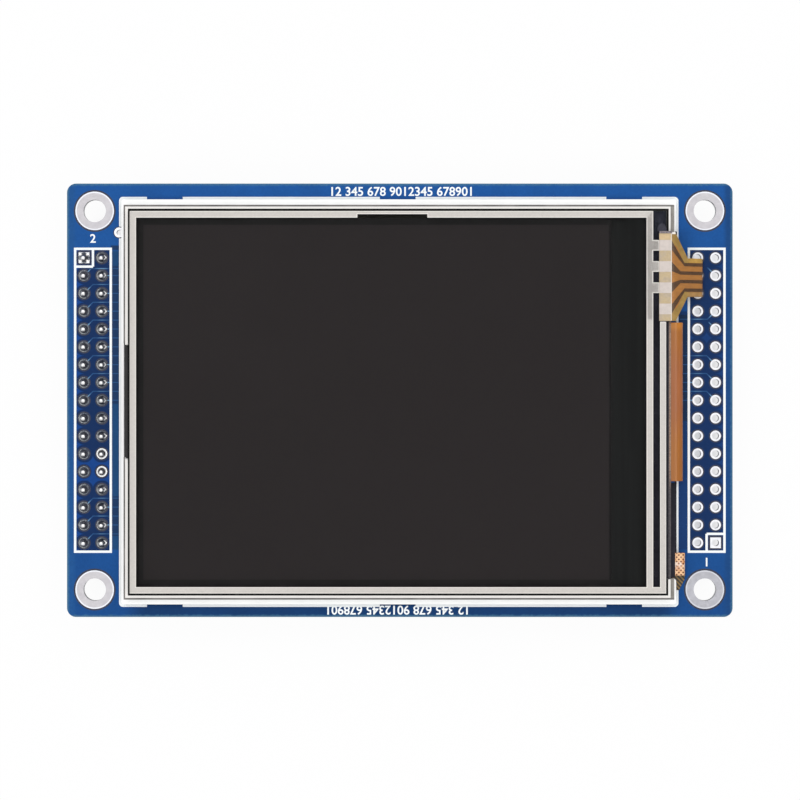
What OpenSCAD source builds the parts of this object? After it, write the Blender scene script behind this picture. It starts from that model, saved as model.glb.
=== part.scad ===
// Touch display module: a liquid crystal panel with a resistive touch screen, carried on a
// circuit board that has a soldered pin header at one end and an open header footprint at the
// other. The display faces +Z, the board's long side lies along X, and the origin is the
// centre of the four mounting holes on the board's rear face.

/* [Circuit board] */
// Board length, along X
board_w = 94.9; // [93.9:0.1:110]
// Board height, along Y
board_h = 61.8; // [61:0.1:75]
// Board thickness
board_t = 1.6; // [1:0.2:2.4]
// Corner radius of the board
board_r = 1.3; // [0.5:0.1:1.6]
// Thickness of the tinned copper on pads and in plated holes
copper_t = 0.05; // [0.03:0.01:0.08]
// Thickness of the printed legend
legend_t = 0.03; // [0.02:0.01:0.05]
// Line width of the printed legend
legend_w = 0.34; // [0.2:0.02:0.4]

/* [Mounting holes] */
// Diameter of each finished mounting hole
mount_hole_d = 3.2; // [2.6:0.1:3.6]
// Diameter of the bare ring round each mounting hole
mount_pad_d = 5.5; // [4.6:0.1:6]
// Distance from the board's left and right edges to the hole centres
mount_inset_x = 3.95; // [3.6:0.05:4.2]
// Distance from the board's top and bottom edges to the hole centres
mount_inset_y = 3.9; // [3.6:0.05:4.2]

/* [Pin headers] */
// Distance between neighbouring pins
pitch = 2.54; // [2.3:0.01:2.54]
// Length of bare board kept beyond each end of the headers, at least
header_end = 8.9; // [8.4:0.1:14]
// Distance from the board's end to the middle of each header
header_inset = 3.7; // [3.5:0.05:4]
// Diameter of each header pad
pad_d = 1.52; // [1.4:0.02:1.8]
// Diameter of each finished header hole
drill_d = 1; // [0.96:0.02:1.1]
// Width of each square pin
pin_w = 0.64; // [0.5:0.02:0.66]
// Length of pin that stands out of the board's front face
pin_tail = 1.36; // [1.2:0.02:2]
// Length of pin that stands out below the plastic body
pin_reach = 6; // [4:0.5:9]
// Height of the plastic body
body_h = 2.5; // [2:0.1:3]
// Height of a full solder fillet round a pin
solder_h = 0.7; // [0.5:0.05:1]

/* [Display frame] */
// Sideways offset of the display from the board's centre
display_dx = -0.15; // [-0.4:0.05:0.1]
// Upward offset of the display from the board's centre
display_dy = -0.23; // [-0.5:0.01:0.5]
// Length of board left free beyond each end of the moulded frame
end_strip = 8; // [7.8:0.1:9.4]
// Width of board left free above and below the moulded frame
side_strip = 2.1; // [1.7:0.1:2.9]
// Depth of the moulded frame, front to back
frame_t = 3; // [2.9:0.1:3.4]
// Thickness of the flange round the frame's foot
flange_t = 0.9; // [0.5:0.05:1]
// Width of the flange on the left
flange_left = 0.7; // [0.5:0.05:1]
// Width of the flange on the right
flange_right = 0.95; // [0.6:0.05:1.2]
// Width of the flange at the top
flange_top = 1.15; // [0.6:0.05:1.5]
// Width of the flange at the bottom
flange_bottom = 1.05; // [0.6:0.05:1.5]
// Thickness of the frame's rim at its top
rim_t = 0.4; // [0.3:0.05:0.5]
// How much wider the rim is at its foot than at its top, on each side
rim_draft = 0.2; // [0.1:0.05:0.4]
// Length of the gap in the left rim
rim_gap = 16.2; // [10:0.2:24]
// Width of the ledge that the glass is taped to
ledge_w = 0.8; // [0.6:0.05:1.2]
// Thickness of the foam tape that holds the frame on the board
foam_t = 0.4; // [0.3:0.05:0.8]

/* [Display stack] */
// Thickness of the reflector sheet
reflector_t = 0.1; // [0.05:0.01:0.15]
// Thickness of the light guide
guide_t = 0.8; // [0.7:0.05:1]
// Thickness of the diffuser and of each prism sheet
film_t = 0.1; // [0.08:0.01:0.12]
// Thickness of the black tape under the glass
rim_tape_t = 0.2; // [0.2:0.05:0.3]
// Thickness of each of the panel's two glass sheets
glass_t = 0.5; // [0.4:0.05:0.6]
// Thickness of each polariser
polariser_t = 0.15; // [0.1:0.01:0.2]
// Gap between the frame's rim and the panel glass
glass_gap = 0.25; // [0.15:0.01:0.3]
// How far the panel's lower glass stands out past its upper one, on the tail's side
ledge_reach = 6.45; // [5.5:0.05:8.4]
// Distance from the end of the upper glass to the front polariser, on the tail's side
polariser_inset = 1.6; // [0.6:0.1:5.6]
// Number of backlight diodes
led_count = 6; // [3:1:8]

/* [Touch panel] */
// Gap between the frame's rim and the touch panel
touch_gap = 0.23; // [0.15:0.01:0.3]
// Thickness of the black tape under the touch panel
touch_tape_t = 0.3; // [0.22:0.01:0.5]
// Thickness of the touch panel's glass
touch_glass_t = 0.9; // [0.7:0.1:1.1]
// Thickness of the touch panel's top film
touch_film_t = 0.2; // [0.15:0.01:0.3]
// Thickness of the printed silver electrodes
silver_t = 0.03; // [0.02:0.01:0.05]
// Width of the printed silver electrodes
silver_w = 0.94; // [0.7:0.02:1]
// Width of the touch panel's margin beside the connection tail
tail_margin = 2.87; // [2.7:0.01:3.2]

/* [Flexible tails] */
// Thickness of each flexible tail
flex_t = 0.1; // [0.08:0.01:0.12]
// Width of the display's tail
lcd_flex_w = 22.5; // [18:0.5:22.5]
// How far the display's tail stands out past the frame
lcd_flex_reach = 0.95; // [0.8:0.05:1.2]
// Width of the backlight's tail
light_flex_w = 3.3; // [2.4:0.1:3.6]
// How far the backlight's tail stands out past the frame
light_flex_reach = 1.3; // [1.1:0.05:1.5]
// Width of the touch tail where it is bonded to the touch panel
touch_head_w = 12.4; // [11.6:0.1:12.6]
// Width of the touch tail at its fold
touch_tail_w = 5.4; // [5:0.1:6.4]
// How far the touch tail's fold stands out past the frame
touch_tail_reach = 3.8; // [3.4:0.05:4.4]

/* [Parts on the rear] */
// Standoff of the chip bodies from the board
chip_gap = 0.1; // [0.05:0.01:0.15]
// Thickness of the chip bodies
chip_t = 1; // [0.8:0.05:1.2]
// Length of the small resistors and capacitors
chip_part_l = 1.6; // [1:0.1:2]
// Width of the small resistors and capacitors
chip_part_w = 0.8; // [0.5:0.05:1]

/* [Hidden] */
$fn = 48;
cut = 1;               // how far a cutter runs past the face that it opens

// Board
mount_x = board_w / 2 - mount_inset_x;
mount_y = board_h / 2 - mount_inset_y;
header_x = board_w / 2 - header_inset;
rows = floor((board_h - 2 * header_end) / pitch);
header_l = rows * pitch;
header_w = 2 * pitch;
drill_r = drill_d / 2;
pad_r = pad_d / 2;
landing_t = max(copper_t, legend_t);
landing_z = board_t + landing_t;
legend_clear = 0.12;
spot_r = 0.72;
spot_drill_r = 0.4;
spot_drop = 4.65;      // below the top edge of the display's foot
spot_overlap = 0.4;    // of the hole's middle from the display's foot

// Header joints whose solder stayed low: [column, row] counted from the lower left pin
low_joints = [[1, 4], [1, 5]];
low_solder_h = 0.3;
solder_top_r = 0.38;
solder_foot_t = 0.06;
body_notch = 0.35;
pin_tip = 0.25;

// Outlines are [left, bottom, right, top], measured from the display's centre
function inset(b, d) = [b[0] + d, b[1] + d, b[2] - d, b[3] - d];

frame_w = board_w - 2 * end_strip;
frame_h = board_h - 2 * side_strip;
frame_b = [-frame_w / 2, -frame_h / 2, frame_w / 2, frame_h / 2];
rim_b = [frame_b[0] + flange_left, frame_b[1] + flange_bottom,
         frame_b[2] - flange_right, frame_b[3] - flange_top];
well_b = inset(rim_b, rim_t);
tray_b = inset(well_b, ledge_w);
frame_r = 0.4;
side_top = rim_b[3] - 3.5;
side_bottom = rim_b[1] + 2.6;

// Heights of the display's layers
frame_z = board_t + foam_t;
guide_z = frame_z + reflector_t;
film_z = guide_z + guide_t;
seat_z = film_z + 3 * film_t;
glass_z = seat_z + rim_tape_t;
ledge_z = glass_z + glass_t;
cover_z = ledge_z + glass_t;
touch_z = cover_z + touch_tape_t;
silver_z = touch_z + touch_glass_t;
touch_film_z = silver_z + silver_t;
foam_inset = 0.15;
foam_w = 2.8;
edge_tape_t = 0.05;
sill_z = ledge_z - edge_tape_t;

// Backlight
led_l = 3.8;
led_d = 0.8;
led_h = 0.6;
led_pitch = (side_top - side_bottom - 4) / led_count;
sheet_gap = 0.12;
strip_w = 2.5;
strip_b = [tray_b[2] - strip_w, side_bottom + 0.3, tray_b[2] - 0.05, side_top - 0.3];
led_x = tray_b[2] - 0.1 - led_d;
guide_b = [tray_b[0] + sheet_gap, tray_b[1] + sheet_gap, led_x - 0.05, tray_b[3] - sheet_gap];
film_b = [guide_b[0], guide_b[1], strip_b[0] - 0.05, guide_b[3]];
tape_window_b = inset(tray_b, 1.2);
rear_polariser_b = inset(tape_window_b, 0.1);

// Panel glass
glass_b = inset(well_b, glass_gap);
filter_b = [glass_b[0], glass_b[1], glass_b[2] - ledge_reach, glass_b[3]];

// Touch panel
touch_b = inset(well_b, touch_gap);
window_inset = silver_w + 0.06;
window_b = [touch_b[0] + window_inset, touch_b[1] + window_inset,
            touch_b[2] - tail_margin, touch_b[3] - window_inset];
polariser_margin = 0.92;
polariser_b = [window_b[0] + polariser_margin, window_b[1] + polariser_margin,
               filter_b[2] - polariser_inset, window_b[3] - polariser_margin];
shield_t = 0.1;
shield_b = [filter_b[2] - 1.2, window_b[1] + 0.05, window_b[2] - 0.05, window_b[3] - 0.05];
chip_l = 20;
chip_w = 1.1;
chip_x = filter_b[2] + 1.2;
chip_b = [chip_x, -chip_l / 2, chip_x + chip_w, chip_l / 2];
inner_bar_x = window_b[2] + 0.05;
outer_bar_x = touch_b[2] - 0.06 - silver_w * 0.9;
code_gap_w = 9.9;
code_gap_x = -0.9;

// Display tail
lcd_flex_r = (ledge_z - landing_z - flex_t) / 2;
lcd_flex_x = frame_b[2] + lcd_flex_reach - lcd_flex_r - flex_t;
lcd_head_x = glass_b[2] - 2.3;
lcd_run_x = glass_b[2] - 4;
flex_clear = 0.3;

// Backlight tail
light_y = side_bottom + 0.36 + light_flex_w / 2;
light_flex_r = (film_z - landing_z - flex_t) / 2;
light_flex_x = frame_b[2] + light_flex_reach - light_flex_r - flex_t;
light_run_x = tray_b[2] + 0.2;
light_foot = 2.05;     // how far the soldered foot runs on below the tail
light_foot_side = 0.5; // length of the foot's straight outer side

// Touch tail
touch_y = touch_b[3] - 9.37;
head_x0 = inner_bar_x + silver_w + 0.86;
head_x1 = rim_b[2] + 0.1;
contact_pitch = 3;
contact_w = 1.5;
stripe_pitch = 1.2;
stripe_w = 0.48;
taper_x0 = frame_b[2] - 0.25;
taper_x1 = taper_x0 + 1.8;
crest_r = 1;
fold_r = 0.7;
crest = [head_x1, silver_z - crest_r];
fold = [frame_b[2] + touch_tail_reach - fold_r - flex_t, landing_z + flex_t + fold_r];
slope = fold - crest;
dive = -atan2(slope[1], slope[0]) - asin((fold_r - crest_r) / norm(slope));
touch_land_b = [frame_b[2] + 0.55, touch_y - 2.2, frame_b[2] + 1.65, touch_y + 2.2];

// Rear parts: [x, y] of each, measured from the board's centre
controller_at = [21, 9];
controller_w = 4.4;
controller_l = 5;
controller_pitch = 0.65;
small_chip_w = 1.3;
small_chip_l = 2.9;
small_chip_pitch = 0.95;
small_chips = [[28, -17], [-24, 14]];
resistors = concat([for (i = [0:5]) [33, 11 - 3 * i]], [[24, -17], [16.5, 14], [16.5, 4]]);
capacitors = [[26.5, 12], [26.5, 6.5], [-20, 16.5], [-20, 11.5], [12.5, 9]];
resistor_t = 0.45;
capacitor_t = 0.8;

// Slab over an outline, from height z, t thick
module plate(b, z, t) {
    translate([b[0], b[1], z])
        cube([b[2] - b[0], b[3] - b[1], t]);
}

// Slab over one outline with another cut out of it
module ring_plate(outer, inner, z, t) {
    difference() {
        plate(outer, z, t);
        plate(inner, z - cut, t + 2 * cut);
    }
}

// Flat rectangle with round corners, about its centre
module rounded(w, h, r) {
    square([w - 2 * r, h], center = true);
    square([w, h - 2 * r], center = true);
    for (sx = [-1, 1], sy = [-1, 1])
        translate([sx * (w / 2 - r), sy * (h / 2 - r)])
            circle(r);
}

// Puts the display's pieces at the display's centre
module at_display() {
    translate([display_dx, display_dy, 0])
        children();
}

// Extrudes an outline drawn in the X-Z plane to a width along Y, about y
module across(y, w) {
    translate([0, y + w / 2, 0])
        rotate([90, 0, 0])
            linear_extrude(w)
                children();
}

// Repeats its children at every pin of the header on one side
module each_pin(side) {
    for (column = [0, 1], row = [0:rows - 1])
        translate([side * header_x + (column - 0.5) * pitch, (row - (rows - 1) / 2) * pitch, 0])
            children();
}

// Repeats its children at the four mounting holes
module each_mount() {
    for (sx = [-1, 1], sy = [-1, 1])
        translate([sx * mount_x, sy * mount_y, 0])
            children();
}

function spot_at() = [frame_b[0] - spot_overlap + display_dx, frame_b[3] - spot_drop + display_dy];

// Half section of a plated hole: a ring on each face and a barrel between them
module plated_hole(hole_r, ring_r) {
    wall_r = hole_r + copper_t;
    rotate_extrude()
        polygon([[hole_r, -copper_t], [ring_r, -copper_t], [ring_r, 0], [wall_r, 0],
                 [wall_r, board_t], [ring_r, board_t], [ring_r, board_t + copper_t],
                 [hole_r, board_t + copper_t]]);
}

// The same with square rings, for a header's first pin
module plated_square_hole(hole_r, side) {
    difference() {
        union() {
            for (z = [-copper_t, board_t])
                translate([-side / 2, -side / 2, z])
                    cube([side, side, copper_t]);
            cylinder(h = board_t, r = hole_r + copper_t);
        }
        translate([0, 0, -cut])
            cylinder(h = board_t + 2 * cut, r = hole_r);
    }
}

// Pads of one header; first is the first pin's [column, row]
module header_pads(side, first) {
    for (column = [0, 1], row = [0:rows - 1])
        translate([side * header_x + (column - 0.5) * pitch, (row - (rows - 1) / 2) * pitch, 0])
            if ([column, row] == first)
                plated_square_hole(drill_r, pad_d);
            else
                plated_hole(drill_r, pad_r);
}

module circuit_board() {
    color("royalblue")
    difference() {
        linear_extrude(board_t)
            rounded(board_w, board_h, board_r);
        each_mount()
            translate([0, 0, -cut])
                cylinder(h = board_t + 2 * cut, r = mount_hole_d / 2 + copper_t);
        for (side = [-1, 1])
            each_pin(side)
                translate([0, 0, -cut])
                    cylinder(h = board_t + 2 * cut, r = drill_r + copper_t);
        translate([spot_at()[0], spot_at()[1], -cut])
            cylinder(h = board_t + 2 * cut, r = spot_drill_r + copper_t);
    }
}

module mounting_hole_plating() {
    color("silver")
    each_mount()
        plated_hole(mount_hole_d / 2, mount_pad_d / 2);
}

module open_header_pads() {
    color("silver")
    header_pads(1, [1, 0]);
}

module pin_header_pads() {
    color("silver")
    header_pads(-1, [0, rows - 1]);
}

// Plated hole half under the left edge of the display
module spot_pad() {
    color("silver")
    translate([spot_at()[0], spot_at()[1], 0])
        plated_hole(spot_drill_r, spot_r);
}

// Line frame, w by h to the middle of its line
module line_frame(w, h, r) {
    difference() {
        rounded(w + legend_w, h + legend_w, r + legend_w / 2);
        rounded(w - legend_w, h - legend_w, max(r - legend_w / 2, 0.01));
    }
}

// Box round one header, with a cell round its first pin at the corner [sx, sy]
module header_legend(side, sx, sy) {
    translate([side * header_x, 0]) {
        difference() {
            square([header_w + legend_w, header_l + legend_w], center = true);
            square([header_w - legend_w, header_l - legend_w], center = true);
        }
        translate([sx * pitch / 2, sy * (header_l / 2 - pitch)])
            square([pitch, legend_w], center = true);
        translate([0, sy * (header_l / 2 - pitch / 2)])
            square([legend_w, pitch], center = true);
    }
}

// Frame printed round the display, open in three places along its top and bottom; it runs a
// little under the flange, but not under the tape at the open side
module display_legend() {
    legend_gap = 5.1;
    margin = 0.26;
    lap = 0.2;
    translate([display_dx, display_dy])
        difference() {
            rounded(frame_w + 2 * margin + legend_w, frame_h + 2 * margin + legend_w, 0.57);
            rounded(frame_w - 2 * lap, frame_h - 2 * lap, frame_r);
            translate([rim_b[2], side_bottom])
                square([flange_right + margin - legend_w / 2, side_top - side_bottom]);
            for (x = [frame_b[0] + 6.1, -0.15, frame_b[2] - 7.3])
                translate([x, 0])
                    square([legend_gap, frame_h + 4 * margin + 2 * legend_w], center = true);
        }
}

// The rings round the mounting holes, which the legend leaves free
module bare_rings() {
    each_mount()
        circle(mount_pad_d / 2 + legend_clear);
}

module front_legend() {
    color("white")
    translate([0, 0, board_t])
        linear_extrude(legend_t)
            difference() {
                union() {
                    header_legend(-1, -1, 1);
                    header_legend(1, 1, -1);
                    display_legend();
                }
                translate(spot_at())
                    circle(spot_r + legend_clear);
                bare_rings();
            }
}

// Boxes printed round the headers and the controller on the board's rear face
module rear_legend() {
    clear = 0.3;
    color("white")
    translate([0, 0, -legend_t])
        linear_extrude(legend_t)
            difference() {
                union() {
                    for (side = [-1, 1])
                        translate([side * header_x, 0])
                            line_frame(header_w + 2 * clear, header_l + 2 * clear, 0.3);
                    translate(controller_at)
                        line_frame(controller_w - 1, controller_l + 2 * clear, 0.3);
                }
                bare_rings();
            }
}

// Outline of the header's body: one cell a row, with a notch between rows on both sides
module header_outline() {
    edge = header_w / 2;
    side = [for (row = [0:rows - 1]) each
        [[edge - body_notch, row * pitch], [edge, row * pitch + body_notch],
         [edge, (row + 1) * pitch - body_notch], [edge - body_notch, (row + 1) * pitch]]];
    far = [for (i = [len(side) - 1:-1:0]) [-side[i][0], side[i][1]]];
    translate([0, -header_l / 2])
        polygon(concat(side, far));
}

module header_body() {
    color("#181818")
    difference() {
        translate([-header_x, 0, -copper_t - body_h])
            linear_extrude(body_h)
                header_outline();
        each_pin(-1)
            translate([-pin_w / 2, -pin_w / 2, -copper_t - body_h - cut])
                cube([pin_w, pin_w, body_h + 2 * cut]);
    }
}

// Side view of a pin, with a blunt point at each end
module pin_side() {
    low = -copper_t - body_h - pin_reach;
    high = board_t + pin_tail;
    half = pin_w / 2;
    tip = pin_w / 4;
    polygon([[-tip, low], [tip, low], [half, low + pin_tip], [half, high - pin_tip],
             [tip, high], [-tip, high], [-half, high - pin_tip], [-half, low + pin_tip]]);
}

module header_pins() {
    color("gold")
    each_pin(-1)
        intersection() {
            across(0, pin_w)
                pin_side();
            rotate([0, 0, 90])
                across(0, pin_w)
                    pin_side();
        }
}

// Half section of a solder fillet, h high: a hollow quarter round from the pad's edge, and a
// collar up the pin
module fillet_section(h) {
    curve_r = min(pad_r - solder_top_r, h - solder_foot_t);
    difference() {
        square([pad_r, solder_foot_t + curve_r]);
        translate([pad_r, solder_foot_t + curve_r])
            circle(curve_r);
    }
    square([pad_r - curve_r, h]);
}

// Solder of one joint: it fills the plated hole and climbs the pin
module solder_joint(h) {
    difference() {
        union() {
            cylinder(h = landing_z, r = drill_r);
            translate([0, 0, board_t + copper_t])
                rotate_extrude()
                    fillet_section(h);
        }
        translate([-pin_w / 2, -pin_w / 2, -cut])
            cube([pin_w, pin_w, board_t + 3 * cut]);
    }
}

module header_solder() {
    color("gainsboro")
    for (column = [0, 1], row = [0:rows - 1])
        translate([(column - 0.5) * pitch - header_x, (row - (rows - 1) / 2) * pitch, 0])
            solder_joint(search([[column, row]], low_joints)[0] == [] ? solder_h : low_solder_h);
}

// Room for the display's tail on its way round the frame's right edge
module display_flex_room() {
    translate([lcd_run_x - flex_clear, -lcd_flex_w / 2 - flex_clear, board_t])
        cube([frame_w, lcd_flex_w + 2 * flex_clear, frame_z - board_t]);
}

// Room for the backlight's tail, out through the frame's wall and back under it
module light_flex_room() {
    w = light_flex_w + 2 * flex_clear;
    translate([strip_b[0], light_y - w / 2, film_z])
        cube([frame_w, w, flex_t + 0.05]);
    translate([light_run_x - flex_clear, light_y - w / 2 - light_foot, board_t])
        cube([frame_w, w + light_foot, frame_z - board_t]);
}

module foam_tape() {
    color("#303030")
    at_display()
        difference() {
            ring_plate(inset(rim_b, foam_inset), inset(rim_b, foam_inset + foam_w), board_t, foam_t);
            display_flex_room();
            light_flex_room();
        }
}

// Block over an outline whose four sides lean in by draft towards its top
module drafted_block(b, z, t, draft) {
    middle = [(b[0] + b[2]) / 2, (b[1] + b[3]) / 2];
    w = b[2] - b[0];
    h = b[3] - b[1];
    intersection() {
        across(middle[1], h + 2 * draft)
            translate([middle[0], z])
                polygon([[-w / 2 - draft, 0], [w / 2 + draft, 0], [w / 2, t], [-w / 2, t]]);
        translate([middle[0], 0, 0])
            rotate([0, 0, 90])
                across(0, w + 2 * draft)
                    translate([middle[1], z])
                        polygon([[-h / 2 - draft, 0], [h / 2 + draft, 0], [h / 2, t], [-h / 2, t]]);
    }
}

// Plan of what is cut from the flange on the right, between the two corner posts
module side_cut() {
    translate([rim_b[2], side_bottom])
        square([flange_right + cut, side_top - side_bottom]);
    for (end = [[side_bottom, -1], [side_top, 1]])
        translate([frame_b[2] - frame_r, end[0]])
            scale([1, end[1]])
                difference() {
                    square([frame_r + cut, frame_r]);
                    translate([0, frame_r])
                        circle(frame_r);
                }
}

// Moulded frame: a flange, a drafted rim with a ledge inside it, a gap in the left rim and
// a low sill on the right where the tails pass out
module backlight_frame() {
    color("white")
    at_display()
        difference() {
            union() {
                translate([0, 0, frame_z])
                    linear_extrude(flange_t)
                        rounded(frame_w, frame_h, frame_r);
                drafted_block(rim_b, frame_z, frame_t, rim_draft);
            }
            plate(well_b, seat_z, frame_t);
            plate(tray_b, frame_z - cut, frame_t);
            translate([frame_b[0] - cut, -rim_gap / 2, seat_z])
                cube([flange_left + rim_t + 2 * cut, rim_gap, frame_t]);
            translate([well_b[2] - cut, side_bottom, sill_z])
                cube([rim_t + flange_right + 2 * cut, side_top - side_bottom, frame_t]);
            translate([0, 0, frame_z - cut])
                linear_extrude(frame_t + 2 * cut)
                    side_cut();
            light_flex_room();
        }
}

module reflector_sheet() {
    color("white")
    at_display()
        plate(inset(tray_b, sheet_gap), frame_z, reflector_t);
}

module light_guide() {
    color("azure")
    at_display()
        plate(guide_b, guide_z, guide_t);
}

module diffuser_sheet() {
    color("whitesmoke")
    at_display()
        plate(film_b, film_z, film_t);
}

module prism_sheet_lower() {
    color("lightgray")
    at_display()
        plate(film_b, film_z + film_t, film_t);
}

module prism_sheet_upper() {
    color("lightgray")
    at_display()
        plate(film_b, film_z + 2 * film_t, film_t);
}

// Side-firing diodes that hang from the strip, against the light guide's end
module backlight_diodes() {
    color("lightyellow")
    at_display()
        for (i = [0:led_count - 1])
            translate([led_x, (side_top + side_bottom) / 2 + (i - (led_count - 1) / 2) * led_pitch
                       - led_l / 2, film_z - led_h])
                cube([led_d, led_l, led_h]);
}

// Points of an arc about c, in the X-Z plane
function arc(c, r, a0, a1, n) =
    [for (i = [0:n]) c + r * [cos(a0 + (a1 - a0) * i / n), sin(a0 + (a1 - a0) * i / n)]];

function reversed(list) = [for (i = [len(list) - 1:-1:0]) list[i]];

// One face of a tail that runs out at height z, turns down through half a circle about x and
// comes back along the board; h is the face's distance from the inner side of the bend
function turned_face(x0, x, x1, z, r, h) =
    concat([[x0, z + h]], arc([x, z - r], r + h, 90, -90, 16), [[x1, z - 2 * r - h]]);

module turned_tail(x0, x, x1, z, r) {
    polygon(concat(turned_face(x0, x, x1, z, r, flex_t), reversed(turned_face(x0, x, x1, z, r, 0))));
}

// The diodes' strip and its tail, which turns down past the frame and is soldered under it
module backlight_flex() {
    foot_y = light_y - light_flex_w / 2;
    outer_x = light_flex_x + light_flex_r + flex_t;
    color("peru")
    at_display() {
        plate(strip_b, film_z, flex_t);
        across(light_y, light_flex_w)
            turned_tail(strip_b[0], light_flex_x, light_run_x, film_z, light_flex_r);
        translate([0, 0, landing_z])
            linear_extrude(flex_t)
                polygon([[light_flex_x, light_y], [light_flex_x, foot_y], [outer_x, foot_y],
                         [outer_x, foot_y - light_foot_side],
                         [light_flex_x - 0.12, foot_y - light_foot],
                         [light_run_x, foot_y - light_foot], [light_run_x, light_y]]);
    }
}

module backlight_flex_pads() {
    foot_y = light_y - light_flex_w / 2;
    color("silver")
    at_display()
        for (y = [foot_y - light_foot / 2, light_y])
            translate([light_run_x + 0.2, y - 0.5, board_t])
                cube([1, 1, landing_t]);
}

// Black tape on the frame's ledge, with a tab that fills the gap in the left rim
module rim_tape() {
    color("#202020")
    at_display()
        difference() {
            union() {
                plate(inset(well_b, 0.05), seat_z, rim_tape_t);
                translate([rim_b[0] - 0.02, 0.1 - rim_gap / 2, seat_z])
                    cube([rim_t + 1, rim_gap - 0.2, rim_tape_t]);
            }
            plate(tape_window_b, seat_z - cut, rim_tape_t + 2 * cut);
        }
}

module rear_polariser() {
    color("dimgray")
    at_display()
        plate(rear_polariser_b, glass_z - polariser_t, polariser_t);
}

module panel_glass() {
    color("#3c4046")
    at_display()
        plate(glass_b, glass_z, glass_t);
}

module colour_filter_glass() {
    color("#303236")
    at_display()
        plate(filter_b, ledge_z, glass_t);
}

module front_polariser() {
    color("#2d2829")
    at_display()
        plate(polariser_b, cover_z, polariser_t);
}

module driver_chip() {
    color("#404040")
    at_display()
        plate(chip_b, ledge_z, 0.3);
}

// Black film from the colour filter glass over the driver chip
module ledge_shield() {
    color("#232323")
    at_display()
        plate(shield_b, cover_z, shield_t);
}

// Black tape over the sill, down the frame's side and out over the board
module edge_tape() {
    color("#24262c")
    at_display()
        difference() {
            across((side_top + side_bottom) / 2, side_top - side_bottom - 0.1)
                polygon([[well_b[2], sill_z], [rim_b[2], sill_z], [rim_b[2], board_t],
                         [frame_b[2], board_t], [frame_b[2], board_t + edge_tape_t],
                         [rim_b[2] + edge_tape_t, board_t + edge_tape_t],
                         [rim_b[2] + edge_tape_t, ledge_z], [well_b[2], ledge_z]]);
            display_flex_room();
            light_flex_room();
        }
}

// The display's tail, bonded to the glass ledge and turned down round the sill
module display_flex() {
    color("chocolate")
    at_display()
        across(0, lcd_flex_w)
            turned_tail(lcd_head_x, lcd_flex_x, lcd_run_x, ledge_z, lcd_flex_r);
}

module display_flex_pads() {
    count = 40;
    land_pitch = (lcd_flex_w - 2) / count;
    color("silver")
    at_display()
        for (i = [0:count - 1])
            translate([lcd_run_x + 0.2, (i - (count - 1) / 2) * land_pitch - land_pitch * 0.3,
                       board_t])
                cube([2, land_pitch * 0.6, landing_t]);
}

// Black tape between the panel and the touch panel, deep enough to reach the ledge on the right
module touch_tape() {
    color("#1e1b18")
    at_display()
        difference() {
            union() {
                ring_plate(touch_b, window_b, cover_z, touch_tape_t);
                plate([window_b[2], touch_b[1], touch_b[2], touch_b[3]], ledge_z,
                      touch_z - ledge_z);
            }
            translate([lcd_head_x - flex_clear, -lcd_flex_w / 2 - flex_clear, ledge_z - cut])
                cube([10, lcd_flex_w + 2 * flex_clear, flex_t + cut]);
        }
}

module touch_glass() {
    color("lightblue", 0.4)
    at_display()
        plate(touch_b, touch_z, touch_glass_t);
}

// Silver print between the touch panel's glass and film: a frame, two bars on the tail's side
// and the three links from the inner bar to the tail
module touch_electrodes() {
    edge = inset(touch_b, 0.02);
    top_y = edge[3] - silver_w;
    bottom_y = edge[1] + silver_w * 0.96;
    inner_x = inner_bar_x + silver_w;
    color("gainsboro")
    at_display()
        difference() {
            union() {
                plate([edge[0], edge[1], edge[0] + silver_w, edge[3]], silver_z, silver_t);
                plate([edge[0], top_y, inner_x, edge[3]], silver_z, silver_t);
                plate([edge[0], edge[1], outer_bar_x + silver_w * 0.9, bottom_y], silver_z, silver_t);
                plate([inner_bar_x, edge[1], inner_x, edge[3]], silver_z, silver_t);
                plate([outer_bar_x, edge[1], outer_bar_x + silver_w * 0.9,
                       touch_y - touch_head_w / 2 - 0.1], silver_z, silver_t);
                for (i = [0:2])
                    translate([inner_bar_x, touch_y + (1.5 - i) * contact_pitch - contact_w / 2,
                               silver_z])
                        cube([head_x0 - inner_bar_x, contact_w, silver_t]);
            }
            translate([code_gap_x - code_gap_w / 2, top_y - cut, silver_z - cut])
                cube([code_gap_w, 0.5 + cut, silver_t + 2 * cut]);
        }
}

// Clear top film, cut out where the tail is bonded to the glass
module touch_film() {
    color("lightcyan", 0.4)
    at_display()
        difference() {
            plate(touch_b, touch_film_z, touch_film_t);
            translate([head_x0 - 0.05, touch_y - touch_head_w / 2 - 0.05, touch_film_z - cut])
                cube([5, touch_head_w + 0.1, touch_film_t + 2 * cut]);
        }
}

// One face of the touch tail, from the glass over a crest, down a slope and round a fold to the
// board; h is the face's distance from the inner side of its bends
function touch_face(h) =
    concat([[head_x0, silver_z + h]],
           arc(crest, crest_r + h, 90, 90 - dive, 6),
           arc(fold, fold_r + h, 90 - dive, -90, 16),
           [[touch_land_b[0] - 0.1, fold[1] - fold_r - h]]);

// Plan of the touch tail: a wide head that tapers to the fold
module touch_plan() {
    head = touch_head_w / 2;
    tail = touch_tail_w / 2;
    far_x = fold[0] + 2 * fold_r;
    translate([0, touch_y])
        polygon([[head_x0 - cut, -head], [taper_x0, -head], [taper_x1, -tail], [far_x, -tail],
                 [far_x, tail], [taper_x1, tail], [taper_x0, head], [head_x0 - cut, head]]);
}

module touch_flex() {
    color("darkgoldenrod")
    at_display()
        intersection() {
            across(touch_y, touch_head_w + cut)
                polygon(concat(touch_face(flex_t), reversed(touch_face(0))));
            linear_extrude(silver_z + cut)
                touch_plan();
        }
}

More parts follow.
